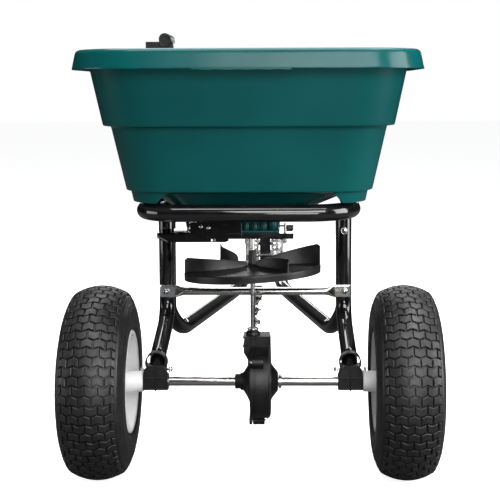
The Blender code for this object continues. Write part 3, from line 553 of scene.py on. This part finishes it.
def make_crossbar():
    """A zinc tube whose ends are pressed flat for the bolts."""
    y, z = CROSSBAR.y - AXLE_Y, CROSSBAR.z
    end = half_size("crossbar").x
    radius = 0.0073
    stations = [(0.0, 0.0), (0.126, 0.0), (0.130, 0.06), (0.134, 0.24), (0.138, 0.55), (0.142, 0.84), (0.1455, 0.98),
                (0.148, 1.0), (end - 0.003, 1.0), (end - 0.0008, 0.97), (end, 0.90)]
    rings = []
    for x, flat in [(-x, flat) for x, flat in stations[:0:-1]] + stations:
        ring = []
        for angle in round_angles(40):
            c, s = math.cos(angle), math.sin(angle)
            power = 1.0 - 0.72 * flat
            wide = math.copysign(abs(s) ** power, s) * (radius + (0.0115 - radius) * flat)
            thin = math.copysign(abs(c) ** power, c) * (radius + (0.0021 - radius) * flat)
            ring.append(Vector((x, y + thin, z + wide)))
        rings.append(ring)
    work = bmesh.new()
    add_loft(work, rings)
    show("crossbar_tube", work, ["crossbar"])


def make_bushings():
    """Black moulded blocks that hold the axle, with a rounded top and a hoop behind it for the leg's foot."""
    base, shoulder, crown, arch_r = 0.1535, 0.1800, 0.0160, 0.0207
    face, panel = -0.0172, -0.0120
    screw_y, screw_z = 0.0040, 0.1850
    angles = [math.pi * step / 28 for step in range(29)]
    for name in ("left", "right"):
        low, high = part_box(name + "_axle_bushing")
        centre, half = (low.x + high.x) / 2, (high.x - low.x) / 2
        bore = AXLE_R + SLACK

        def top_edge(grow=0.0):
            return [(centre + (arch_r + grow) * math.copysign(abs(math.cos(a)) ** 0.75, math.cos(a)),
                     shoulder + (crown + grow) * math.sin(a) ** 0.85) for a in angles]

        def hoop_edge(size):
            return [(centre + size * math.cos(a), 0.1975 + size * math.sin(a))
                    for a in (math.pi * (step - 3) / 28 for step in range(35))]

        work = bmesh.new()
        add_turned(work, [(bore, -half), (0.0138, -half), (0.0145, -half + 0.0007), (0.0145, half - 0.0007),
                          (0.0138, half), (bore, half)], (centre, 0, AXLE_Z), "X", 48)
        outline = [(low.x + 0.0003, base), (high.x - 0.0003, base)] + top_edge()
        add_loft(work, [upright(outline, y) for y in (-0.0155, -0.0080)])
        add_box(work, (low.x + 0.004, -0.010, 0.158), (high.x - 0.004, 0.016, 0.1940))
        add_box(work, (centre - 0.0012, -0.0185, base - 0.002), (centre + 0.0012, panel, 0.1958))
        add_box(work, (low.x + 0.0015, -0.0180, 0.1732), (high.x - 0.0015, panel, 0.1756))
        for x in (low.x + 0.0012, high.x - 0.0012):
            add_box(work, (x - 0.0011, face, base + 0.0002), (x + 0.0011, panel, 0.1810))
        add_box(work, (low.x + 0.0004, face, base + 0.0001), (high.x - 0.0004, panel, base + 0.0022))
        add_strip(work, [upright(top_edge(grow), y)
                         for y, grow in ((face, 0.0), (panel, 0.0), (panel, -0.0022), (face, -0.0022))])
        add_strip(work, [upright(hoop_edge(size), y)
                         for y, size in ((-0.0050, 0.0192), (0.0120, 0.0192), (0.0120, 0.0168), (-0.0050, 0.0168))])
        show(name + "_bushing_block", work, [name + "_axle_bushing"], bevel=0.0006)
        work = bmesh.new()
        add_rod(work, (centre - 0.0265, screw_y, screw_z), (centre + 0.0265, screw_y, screw_z), 0.0019, 20)
        for way in (-1, 1):
            add_dome(work, (centre + way * 0.0244, screw_y, screw_z), "X", way, 0.0050, 0.0036)
            inner, outer = centre + way * 0.0214, centre + way * 0.0228
            add_rod(work, (inner, screw_y, screw_z), (outer, screw_y, screw_z), 0.0052, 28)
        show(name + "_bushing_fastener", work, [name + "_bushing_screw"])


def add_dome(work, centre, axis, way, radius, height):
    """A low rounded head whose flat side is at the centre."""
    profile = [(0.00005, height), (radius * 0.42, height * 0.93), (radius * 0.76, height * 0.66),
               (radius * 0.95, height * 0.32), (radius, 0.0002), (radius * 0.97, 0.0), (0.00005, 0.0)]
    add_turned(work, [(size, way * along) for size, along in profile], centre, axis, 28)


def make_frame_bolts():
    """Round-headed bolts with washers, through the legs and the pressed ends of the crossbar."""
    for name in ("left", "right"):
        for level, front in (("upper", 0.1230), ("lower", 0.1184)):
            low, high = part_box(name + "_" + level + "_frame_bolt")
            x, z = (low.x + high.x) / 2, (low.z + high.z) / 2
            end = high.y - AXLE_Y
            work = bmesh.new()
            add_rod(work, (x, front, z), (x, end, z), 0.0031, 24)
            add_rod(work, (x, front - 0.0022, z), (x, front - 0.0004, z), 0.0062, 32, edge=0.0003)
            add_dome(work, (x, front - 0.0022, z), "Y", -1, 0.0050, 0.0034)
            add_rod(work, (x, end - 0.0062, z), (x, end - 0.0012, z), 0.0058, 6)
            show(name + "_" + level + "_bolt_and_nut", work, [name + "_" + level + "_frame_bolt"], sharp=40)


def add_strip(work, rows):
    """A bar closed at both ends: rows are its four long edges, in turn."""
    add_loft(work, list(zip(*rows)))


# Wheels

def tyre_outline():
    """Half of the tyre's outer section over the tread blocks: (across, radius) from the crown to the bead."""
    shoulder, crown_fall = 0.0425, 6.6
    points = [(shoulder * step / 14, TYRE_R - crown_fall * (shoulder * step / 14) ** 2) for step in range(15)]
    side = [(0.0466, 0.1482), (0.0500, 0.1405), (0.0528, 0.1310), (0.0550, 0.1215), (TYRE_HALF + 0.0009, 0.1120),
            (TYRE_HALF + 0.0010, 0.1050), (0.0556, 0.0975), (0.0524, 0.0920), (0.0480, 0.0892)]
    return points + side


class Carcass:
    """The tyre's section by arc length, for placing blocks on it."""

    def __init__(self):
        self.points = [Vector(point) for point in tyre_outline()]
        self.lengths = [0.0]
        for one, two in zip(self.points, self.points[1:]):
            self.lengths.append(self.lengths[-1] + (two - one).length)

    def at(self, length, sink=0.0):
        """(across, radius) at a signed arc length from the crown, moved in by sink."""
        side = -1.0 if length < 0 else 1.0
        length = min(abs(length), self.lengths[-1] - 1e-6)
        i = max(n for n, start in enumerate(self.lengths) if start <= length)
        one, two = self.points[i], self.points[min(i + 1, len(self.points) - 1)]
        share = (length - self.lengths[i]) / max((two - one).length, 1e-9)
        point = one.lerp(two, share)
        before = self.points[max(i - 1, 0)]
        after = self.points[min(i + 2, len(self.points) - 1)]
        slope = ((two - before).normalized().lerp((after - one).normalized(), share)).normalized()
        point = point - Vector((-slope.y, slope.x)) * sink
        return side * point.x, point.y


TREAD_DEPTH = 0.0036
TREAD_REACH = 0.0500
TREAD_ROWS = 66
BLOCK_PITCH = 0.0206
ZIGZAG = 0.0042
GROOVE = 0.0027
SIDE_GROOVES = ((0.0665, 0.0690), (0.0760, 0.0775))
TYRE_SHIFT = -0.0010


def zigzag(length):
    """How far a groove line runs ahead at this place across: highest over the crown's own blocks."""
    phase = (length / BLOCK_PITCH) % 1.0
    return ZIGZAG * abs(2 * phase - 1.0)


def on_wheel(centre, across, radius, angle):
    """A point of the wheel: angle 0 is at the rear, and it grows downwards there."""
    return Vector((centre.x + across, centre.y - radius * math.cos(angle), centre.z - radius * math.sin(angle)))


def add_block(work, centre, carcass, low, high, row_angle, row_height):
    """One tread block between two arc lengths, with chevron edges and a broken top edge."""
    columns, rows = 7, 3
    lower, upper = GROOVE / 2, row_height - GROOVE / 2

    def place(row, column, sink, inset):
        u = low + inset + (high - low - 2 * inset) * column / (columns - 1)
        v = lower + inset + (upper - lower - 2 * inset) * row / (rows - 1)
        return on_wheel(centre, *carcass.at(u, sink), row_angle + (v - zigzag(u)) / TYRE_R)

    def grid(sink, inset):
        return [[place(row, column, sink, inset) for column in range(columns)] for row in range(rows)]

    def rim(lines):
        there = lines[0][:-1] + [line[-1] for line in lines[:-1]]
        return there + lines[-1][:0:-1] + [line[0] for line in lines[:0:-1]]

    top = [[work.verts.new(point) for point in line] for line in grid(0.0, 0.0009)]
    for one, two in zip(top, top[1:]):
        for column in range(columns - 1):
            work.faces.new((one[column], one[column + 1], two[column + 1], two[column]))
    shoulder = [work.verts.new(point) for point in rim(grid(0.0007, 0.0))]
    foot = [work.verts.new(point) for point in rim(grid(TREAD_DEPTH + 0.0012, -0.0005))]
    skin(work, rim(top), shoulder)
    skin(work, shoulder, foot)
    work.faces.new(foot)


def make_tyre(side, name):
    carcass = Carcass()
    centre = Vector((side * WHEEL_X + TYRE_SHIFT, 0.0, AXLE_Z))
    work = bmesh.new()
    end = carcass.lengths[-1]
    half = []
    stations = 46
    for step in range(stations + 1):
        length = end * step / stations
        sink = TREAD_DEPTH * min(1.0, max(0.0, 1 - (length - TREAD_REACH) / 0.004))
        if any(start < length < stop for start, stop in SIDE_GROOVES):
            sink -= 0.0007
        half.append(carcass.at(length, sink))
    lining = [(0.0380, 0.0890), (0.0360, 0.1000)]
    profile = [(-across, radius) for across, radius in (half + lining)[::-1]] + (half + lining)[1:]
    add_loft(work, [[on_wheel(centre, across, radius, angle) for across, radius in profile]
                    for angle in round_angles(168)], closed=True)
    row_angle = 2 * math.pi / TREAD_ROWS
    row_height = row_angle * TYRE_R
    for row in range(TREAD_ROWS):
        shift = 0.0 if row % 2 else 0.5
        reach = TREAD_REACH + (0.0015 if row % 2 else -0.0005)
        for number in range(-3, 4):
            low = (number - 0.5 + shift) * BLOCK_PITCH + GROOVE / 2
            high = (number + 0.5 + shift) * BLOCK_PITCH - GROOVE / 2
            low, high = max(low, -reach), min(high, reach)
            if high - low < 0.0045:
                continue
            add_block(work, centre, carcass, low, high, row * row_angle, row_height)
    show(name + "_tyre_tread", work, [name + "_tyre"], sharp=38)


def make_rim(side, name):
    inward, outward = HUB_IN - WHEEL_X, HUB_OUT - WHEEL_X
    flange = TYRE_HALF * 0.975
    bore = AXLE_R + SLACK
    profile = [
        (bore, inward), (0.0178, inward), (0.0182, -0.0160), (0.0240, -0.0105), (0.0560, -0.0085), (0.0640, -0.0115),
        (0.0705, -0.0250), (0.0745, -0.0300), (0.0770, -0.0420), (0.0790, -0.0520), (0.0850, -flange),
        (0.0878, -flange + 0.0012), (0.0878, -flange + 0.0030), (0.0850, -0.0480), (0.0800, -0.0460),
        (0.0800, 0.0460), (0.0850, 0.0480), (0.0878, flange - 0.0030), (0.0878, flange - 0.0012), (0.0850, flange),
        (0.0790, 0.0520), (0.0770, 0.0420), (0.0745, 0.0300), (0.0705, 0.0160), (0.0640, 0.0010), (0.0560, -0.0020),
        (0.0240, 0.0000), (0.0182, 0.0055), (0.0178, outward), (bore, outward),
    ]
    work = bmesh.new()
    smooth = softened([(radius, side * along) for radius, along in profile], 0.0016)
    add_turned(work, smooth, (side * WHEEL_X, 0, AXLE_Z), "X", 112)
    show(name + "_wheel_rim", work, [name + "_rim"], sharp=60)


def make_wheels():
    for side, name in SIDES:
        make_tyre(side, name)
        make_rim(side, name)
    work = bmesh.new()
    end = half_size("axle").x
    add_rod(work, (-end, 0, AXLE_Z), (end, 0, AXLE_Z), AXLE_R, 48, edge=0.0008)
    show("axle_rod", work, ["axle"])


# Gearbox

def case_outline(grow, count=72):
    """Side outline of the gearbox: a round gear case with a neck up to the shaft. Points are (y, z)."""
    radius, neck, top = 0.0600 + grow, 0.0175 + grow, 0.2440 + grow
    start = math.asin(neck / radius)
    blend_start = start + 0.16
    points = [(neck, top), (neck, top - 0.010), (neck, AXLE_Z + radius * math.cos(start) + 0.006)]
    for step in range(count + 1):
        angle = blend_start + (2 * math.pi - 2 * blend_start) * step / count
        points.append((radius * math.sin(angle), AXLE_Z + radius * math.cos(angle)))
    points += [(-y, z) for y, z in points[2::-1]]
    return points


def add_cover(work, profile, rib_start, rib_end):
    """A conical cover turned round the axle, with eight thin ribs down its slope."""
    add_turned(work, softened(profile, 0.0008, 2, closed=False), (0, 0, AXLE_Z), "X", 64, closed=False)
    for angle in round_angles(8):
        add_cone_rib(work, angle, rib_start, rib_end)


def add_case(work, stations):
    """A shell through (x, grow) stations of the case outline."""
    add_loft(work, [[Vector((x, y, z)) for y, z in case_outline(grow)] for x, grow in stations])


def make_gearbox():
    seam = -0.0015
    bore = AXLE_R + SLACK
    work = bmesh.new()
    add_case(work, [(seam, 0.0022), (seam, 0.0040), (seam - 0.0018, 0.0040), (seam - 0.0018, 0.0024),
                    (-0.0036, 0.0018), (-0.0046, 0.0000)])
    add_neck(work, seam - 0.0004, -0.0158)
    add_cover(work, [(0.0001, -0.0050), (0.0330, -0.0050), (0.0330, -0.0072), (0.0290, -0.0085), (0.0165, -0.0160),
                     (0.0150, -0.0180), (0.0150, -0.0215), (0.0128, -0.0222), (0.0128, -0.0310), (bore, -0.0310),
                     (bore, -0.0060)], -0.0076, -0.0168)
    add_ears(work, seam - 0.0005, -0.0070)
    add_turned(work, [(0.0046, 0.2468), (0.0118, 0.2468), (0.0122, 0.2476), (0.0112, 0.2520), (0.0088, 0.2545),
                      (0.0046, 0.2545)], (0, 0, 0), "Z", 40)
    show("gearbox_left_case", work, ["gearbox_left_shell"], sharp=28)

    work = bmesh.new()
    add_case(work, [(seam + 0.0003, 0.0022), (seam + 0.0003, 0.0040), (0.0010, 0.0040), (0.0010, 0.0024),
                    (0.0048, 0.0024), (0.0050, 0.0036), (0.0064, 0.0036), (0.0066, 0.0024), (0.0240, 0.0020),
                    (0.0240, 0.0034), (0.0268, 0.0034), (0.0268, 0.0016), (0.0292, 0.0000), (0.0305, -0.0040)])
    add_neck(work, seam + 0.0006, 0.0285)
    add_cover(work, [(0.0001, 0.0290), (0.0330, 0.0290), (0.0330, 0.0312), (0.0290, 0.0322), (0.0165, 0.0422),
                     (0.0140, 0.0430), (bore, 0.0430), (bore, 0.0300)], 0.0314, 0.0410)
    add_ears(work, seam + 0.0008, 0.0195)
    for y in (-0.0125, 0.0125):
        add_box(work, (0.0060, y - 0.0010, 0.1000), (0.0220, y + 0.0010, 0.1020))
    show("gearbox_right_case", work, ["gearbox_right_shell"], sharp=28)


def make_gearbox_fittings():
    """The case screws, the wire ring round the neck, and the stop ring and its pin on the axle."""
    for number, (y, z) in enumerate(EARS, 1):
        work = bmesh.new()
        add_rod(work, (-0.0074, y, z), (0.0199, y, z), 0.0026, 20)
        show("gearbox_case_screw_%d" % number, work, ["gearbox_screw_%d" % number])
    work = bmesh.new()
    ring, wire, z = 0.0088, 0.0013, 0.2572
    loop = [(ring + wire * math.cos(a), z + wire * math.sin(a)) for a in round_angles(12)]
    add_turned(work, loop, (0, 0, 0), "Z", 56)
    tail = rounded_path([(0.0030, 0.0080, z), (0.0050, 0.0220, z + 0.0002), (0.0052, 0.0420, 0.2600)], [0.020], 6)
    add_tube(work, tail, wire, 0.0, 14)
    show("gearbox_ring_clamp", work, ["gearbox_clamp"])
    work = bmesh.new()
    bore = AXLE_R + 0.0002
    add_turned(work, [(bore, 0.0436), (0.0108, 0.0436), (0.0112, 0.0441), (0.0112, 0.0485), (0.0108, 0.0490),
                      (bore, 0.0490)], (0, 0, AXLE_Z), "X", 48)
    show("axle_stop_ring", work, ["axle_collar"])
    work = bmesh.new()
    add_rod(work, (0.0462, 0, AXLE_Z - 0.0124), (0.0462, 0, AXLE_Z + 0.0124), 0.0016, 18)
    show("stop_ring_pin", work, ["collar_pin"])


def add_neck(work, inner, outer):
    """The square neck round the shaft: it tapers in towards the case and has a stepped collar on top."""
    half_y = 0.0205
    way = math.copysign(1.0, outer - inner)
    taper = 0.0095 if way < 0 else 0.0
    rings = []
    for z, grow in ((0.2000, -0.0004 - taper), (0.2080, -0.0004 - 0.7 * taper), (0.2200, -0.0004), (0.2290, -0.0004),
                    (0.2292, 0.0008), (0.2318, 0.0008), (0.2320, -0.0012), (0.2440, -0.0012), (0.2442, 0.0004),
                    (0.2472, 0.0004)):
        edge, deep = outer + way * grow, half_y + max(grow, -0.0012)
        rings.append([Vector((x, y, z)) for x, y in ((inner, -deep), (edge, -deep), (edge, deep), (inner, deep))])
    add_loft(work, rings)


def add_cone_rib(work, angle, start, end):
    """A thin rib that runs down the conical cover from its boss to its rim."""
    out = Vector((0, math.cos(angle), math.sin(angle)))
    side = Vector((0, -out.z, out.y)) * 0.0008
    centre = Vector((0, 0, AXLE_Z))
    root = start - math.copysign(0.004, end)
    add_loft(work, [[centre + out * radius + side * way + Vector((x, 0, 0))
                     for radius, x in ((0.0145, end), (0.0300, start), (0.0300, root), (0.0145, root))]
                    for way in (-1, 1)])


EARS = ((0.0549, 0.2110), (-0.0549, 0.2110), (0.0, 0.0965))


def add_ears(work, inner, outer):
    """Screw bosses at the case's corners, with a web back to the wall."""
    low, high = min(inner, outer), max(inner, outer)
    for y, z in EARS:
        add_rod(work, (inner, y, z), (outer, y, z), 0.0075, 32, edge=0.0006)
        ear = Vector((0, y, z))
        inward = (Vector((0, 0, AXLE_Z)) - ear).normalized()
        side = Vector((0, -inward.z, inward.y)) * 0.0046
        root = ear + inward * 0.014
        web = (ear + side, ear - side, root - side * 1.6, root + side * 1.6)
        add_loft(work, [[Vector((x, 0, 0)) + point for point in web] for x in (low + 0.0004, high - 0.0012)])


# Spinner

# Each fin's starting angle, height, fullness of its top edge and inner radius.
FINS = ((18.0, 1.09, 0.85, 0.010), (136.0, 1.13, 0.42, 0.036), (197.0, 0.78, 0.70, 0.010), (317.0, 0.68, 0.40, 0.010))
FIN_HEIGHT = 0.0315
FIN_SWEEP = 15
DISC_LIFT = 0.0060
DISC_SLOPE = Vector((0.056, -0.040, 0.0))

def make_spinner():
    """The finned disc, which sits a little askew on its shaft."""
    top = DISC_Z
    work = bmesh.new()
    bore, hub_top, skirt = SHAFT_R + SLACK, top + 0.0300, top - 0.0130
    add_turned(work, softened([
        (bore, hub_top), (0.0060, hub_top), (0.0066, top + 0.0280), (0.0074, top + 0.0060), (0.0180, top + 0.0022),
        (0.0900, top), (DISC_R - 0.0016, top), (DISC_R, top - 0.0018), (DISC_R - 0.0004, skirt + 0.0008),
        (DISC_R, skirt), (DISC_R - 0.0022, skirt), (DISC_R - 0.0024, top - 0.0030), (0.0100, top - 0.0028),
        (0.0075, top - 0.0140), (bore, top - 0.0140),
    ], 0.0014), (0, 0, 0), "Z", 144)
    for fin in FINS:
        add_fin(work, *fin)
        foot = fin[0] + 9
        add_rod(work, spot(foot, 0.100, top - 0.0006), spot(foot, 0.100, top + 0.0003), 0.0032, 20, edge=0.0002)
    for step in range(12):
        add_underside_rib(work, math.radians(15 + 30 * step))
    for vert in work.verts:
        vert.co.z += DISC_LIFT + DISC_SLOPE.dot(vert.co)
    show("spinner_plate", work, ["spinner_disc"], sharp=35)


def spot(degrees, radius, z):
    """A point of the disc by its heading and radius."""
    angle = math.radians(degrees)
    return (radius * math.cos(angle), radius * math.sin(angle), z)


def add_fin(work, start_angle, tall, fullness, inner):
    """A swept fin whose height grows outwards, with a rounded top corner."""
    steps = 22
    thick = 0.0012
    low = 0.0080 + 0.2 * inner
    rings = []
    for step in range(steps + 1):
        part = step / steps
        radius = inner + (DISC_R - 0.0008 - inner) * part
        heading = math.radians(start_angle - FIN_SWEEP * part * part)
        out = Vector((math.cos(heading), math.sin(heading), 0.0))
        side = Vector((-out.y, out.x, 0.0))
        height = low + (FIN_HEIGHT * tall - low) * part ** fullness
        corner = max(0.0, (part - 0.955) / 0.045)
        height -= 0.0045 * (1 - math.sqrt(max(0.0, 1 - corner * corner)))
        foot = out * radius + Vector((0, 0, DISC_Z - 0.0012))
        shelf = out * radius + Vector((0, 0, DISC_Z + 0.0006))
        head = out * radius + Vector((0, 0, DISC_Z + height))
        edge = Vector((0, 0, 0.0005))
        rings.append([
            foot - side * (thick + 0.0014), foot + side * (thick + 0.0014), shelf + side * (thick + 0.0002),
            head - edge + side * thick * 0.85, head + side * thick * 0.45, head - side * thick * 0.45,
            head - edge - side * thick * 0.85, shelf - side * (thick + 0.0002),
        ])
    add_loft(work, rings)


def add_underside_rib(work, angle):
    """A radial rib under the disc, deepest at the hub."""
    out = Vector((math.cos(angle), math.sin(angle), 0.0))
    side = Vector((-out.y, out.x, 0.0)) * 0.0009
    rings = []
    for radius, depth in ((0.0072, 0.0125), (0.0400, 0.0075), (0.0900, 0.0055), (DISC_R - 0.0020, 0.0092)):
        high = out * radius + Vector((0, 0, DISC_Z - 0.0020))
        low = out * radius + Vector((0, 0, DISC_Z - depth))
        rings.append([low - side, low + side, high + side, high - side])
    add_loft(work, rings)


# Gate

def make_gate_arm():
    """The gate's folded arm, whose flange hangs from its rear edge, and the plated end of its guide rail."""
    low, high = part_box("gate_plate")
    left, top = low.x, high.z
    rear, bottom, stop, thick = -0.0460, 0.4125, -0.1065, 0.0030
    work = bmesh.new()
    add_box(work, (left, rear, top - thick + 0.0001), (stop, -0.0110, top - 0.0001))
    outline = [(left, top), (stop, top), (stop, 0.4198), (-0.0380, 0.4198), (-0.0380, bottom + 0.0020),
               (-0.0440, bottom), (left + 0.016, bottom), (left + 0.004, bottom + 0.0060), (left, bottom + 0.0085)]
    add_loft(work, [upright(outline, y) for y in (rear, rear + thick)])
    lip = [(left + 0.0005, top - 0.0010), (left + 0.0005, bottom + 0.0085), (left + 0.0045, bottom + 0.0060),
           (left + 0.0165, bottom)]
    add_strip(work, [upright([(x - aside, z + rise) for x, z in lip], y) for aside, rise, y in (
        (0.0, 0.0, rear + 0.0002), (0.0008, 0.0, rear - 0.0080), (0.0008, 0.0024, rear - 0.0080),
        (0.0, 0.0024, rear + 0.0002))])
    show("gate_folded_arm", work, body="gate", slot="black_paint", bevel=0.0006)
    low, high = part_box("gate_guide")
    work = bmesh.new()
    add_box(work, (-0.1075, low.y - AXLE_Y + 0.0002, low.z + 0.0002), (low.x + 0.001, -0.0482, high.z - 0.0002))
    plate = -0.0692
    add_box(work, (-0.1000, plate, low.z + 0.0100), (-0.0150, plate + 0.0020, 0.4490))
    add_box(work, (-0.1000, plate, low.z + 0.0060), (-0.0150, -0.0640, low.z + 0.0101))
    show("guide_rail_end", work, body="frame", slot="black_paint", bevel=0.0006)
    work = bmesh.new()
    for x, z in ((-0.0820, 0.4415), (-0.0700, 0.4395)):
        add_rod(work, (x, plate - 0.0008, z), (x, -0.0600, z), 0.0034, 24)
        add_dome(work, (x, plate - 0.0008, z), "Y", -1, 0.0028, 0.0020)
    show("guide_plate_screws", work, body="frame", slot="zinc_steel")


def make_grip_end():
    """A raised ring on the end of the lever's grip."""
    low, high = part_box("lever_grip")
    radius = (high.z - low.z) / 2
    centre = (high.x - radius, low.y - AXLE_Y, (low.z + high.z) / 2)
    work = bmesh.new()
    add_turned(work, [(radius * 0.52, 0.0010), (radius * 0.56, -0.0016), (radius * 0.72, -0.0018),
                      (radius * 0.78, 0.0010)], centre, "Y", 40)
    show("grip_end_ring", work, body="rate_lever", slot="black_plastic")


# What stays as CAD made it, with its edges rounded and its finish on

SOFT_EDGES = {
    "gate_plate": 0.0005, "gate_guide": 0.0006, "lever_bracket": 0.0006, "hitch_post": 0.0015,
    "hitch_bracket": 0.0006, "lever_grip": 0.0012, "shaft_bushing": 0.0005, "rate_stop_knob": 0.0010,
    "gearbox_stay": 0.0003, "pinion": 0.0003, "crown_gear": 0.0003, "left_valve_stem": 0.0004,
    "right_valve_stem": 0.0004, "control_lever": 0.0, "agitator": 0.0, "left_cotter_pin": 0.0,
    "right_cotter_pin": 0.0,
}


def dress_cad_nodes():
    for name, node in NODES.items():
        if node.hide_render:
            continue
        node.data.materials.clear()
        node.data.materials.append(FINISHES[SLOT_OF[name]])
        width = SOFT_EDGES.get(name, 0.0005)
        weld = node.modifiers.new("joined faces", "WELD")
        weld.merge_threshold = 0.00001
        if width:
            round_edges(node, width, 34.0, 2)


# Camera, light and floor

def make_camera():
    data = bpy.data.cameras.new("camera")
    camera = bpy.data.objects.new("camera", data)
    bpy.context.scene.collection.objects.link(camera)
    camera.location = (0.0668, AXLE_Y - 1.887, 0.6687)
    camera.rotation_euler = (math.radians(90 - 4.73), math.radians(0.22), math.radians(0.83))
    data.lens = 80.4
    data.shift_x = -0.05
    data.shift_y = -0.14
    bpy.context.scene.camera = camera


def add_light(name, location, target, size, size_y, power):
    """A soft rectangular light of size by size_y metres that faces the target."""
    data = bpy.data.lights.new(name, "AREA")
    data.energy = power
    data.shape = "RECTANGLE"
    data.size = size
    data.size_y = size_y
    lamp = bpy.data.objects.new(name, data)
    bpy.context.scene.collection.objects.link(lamp)
    lamp.location = location
    lamp.rotation_euler = (Vector(target) - Vector(location)).to_track_quat("-Z", "Y").to_euler()


def split_by_ray(tree, for_camera, for_others, surface):
    """Shows one shader to the camera and another to every other ray."""
    path = tree.nodes.new("ShaderNodeLightPath")
    mix = tree.nodes.new("ShaderNodeMixShader")
    tree.links.new(path.outputs["Is Camera Ray"], mix.inputs["Fac"])
    tree.links.new(for_others, mix.inputs[1])
    tree.links.new(for_camera, mix.inputs[2])
    tree.links.new(mix.outputs["Shader"], surface)


def make_studio():
    add_light("camera_side_softbox", (0.70, -2.45, 1.45), (0.1, -0.58, 0.72), 1.86, 0.9, 40.0)
    add_light("low_fill", (0.5, -2.6, 0.45), (0.0, -0.4, 0.2), 1.0, 0.5, 12.0)
    add_light("high_softbox", (0.2, -1.3, 2.9), (0.0, -0.3, 0.4), 2.6, 1.2, 62.0)
    add_light("overhead_softbox", (0.2, 0.2, 2.5), (0.0, -0.25, 0.4), 2.6, 1.6, 76.0)
    add_light("right_panel", (2.4, -0.9, 0.9), (0.0, -0.3, 0.45), 1.4, 1.8, 60.0)
    add_light("left_panel", (-2.4, -0.9, 0.5), (-0.1, -0.3, 0.3), 1.4, 0.9, 12.0)
    add_light("far_panel", (0.2, 2.4, 2.4), (0.0, 0.0, 0.4), 2.0, 0.8, 14.0)
    add_light("far_low_panel", (0.0, 3.0, 0.95), (0.0, 0.0, 0.3), 2.2, 0.30, 9.0)
    world = bpy.data.worlds.new("studio")
    bpy.context.scene.world = world
    world.use_nodes = True
    tree = world.node_tree
    tree.nodes.clear()
    split = tree.nodes.new("ShaderNodeSeparateXYZ")
    tree.links.new(tree.nodes.new("ShaderNodeTexCoord").outputs["Generated"], split.inputs["Vector"])
    height = tree.nodes.new("ShaderNodeMapRange")
    for socket, value in (("From Min", 0.20), ("From Max", 0.55), ("To Min", 0.014), ("To Max", 0.14)):
        height.inputs[socket].default_value = value
    tree.links.new(split.outputs["Z"], height.inputs["Value"])
    dim = tree.nodes.new("ShaderNodeBackground")
    dim.inputs["Color"].default_value = (0.95, 0.97, 1.0, 1.0)
    tree.links.new(height.outputs["Result"], dim.inputs["Strength"])
    white = tree.nodes.new("ShaderNodeBackground")
    white.inputs["Color"].default_value = (1.0, 1.0, 1.0, 1.0)
    output = tree.nodes.new("ShaderNodeOutputWorld")
    split_by_ray(tree, white.outputs["Background"], dim.outputs["Background"], output.inputs["Surface"])
    bpy.context.scene.view_settings.view_transform = "Standard"
    bpy.context.scene.view_settings.look = "None"


def make_floor():
    """A pale floor that looks white to the camera, and throws little light back up at the object."""
    bpy.ops.mesh.primitive_plane_add(size=40.0, location=(0.0, 0.0, 0.0))
    floor = bpy.context.object
    floor.name = "studio_floor"
    finish = bpy.data.materials.new("studio_floor")
    finish.use_nodes = True
    tree = finish.node_tree
    shader = tree.nodes["Principled BSDF"]
    shader.inputs["Base Color"].default_value = (0.90, 0.90, 0.90, 1.0)
    shader.inputs["Roughness"].default_value = 0.8
    shader.inputs["Emission Color"].default_value = (1.0, 1.0, 1.0, 1.0)
    shader.inputs["Emission Strength"].default_value = 0.86
    dull = tree.nodes.new("ShaderNodeBsdfDiffuse")
    dull.inputs["Color"].default_value = (0.10, 0.10, 0.10, 1.0)
    surface = tree.nodes["Material Output"].inputs["Surface"]
    split_by_ray(tree, shader.outputs["BSDF"], dull.outputs["BSDF"], surface)
    floor.data.materials.append(finish)


make_hopper()
make_frame()
make_crossbar()
make_bushings()
make_frame_bolts()
make_gate_arm()
make_grip_end()
make_wheels()
make_gearbox()
make_gearbox_fittings()
make_spinner()
dress_cad_nodes()
make_camera()
make_studio()
make_floor()
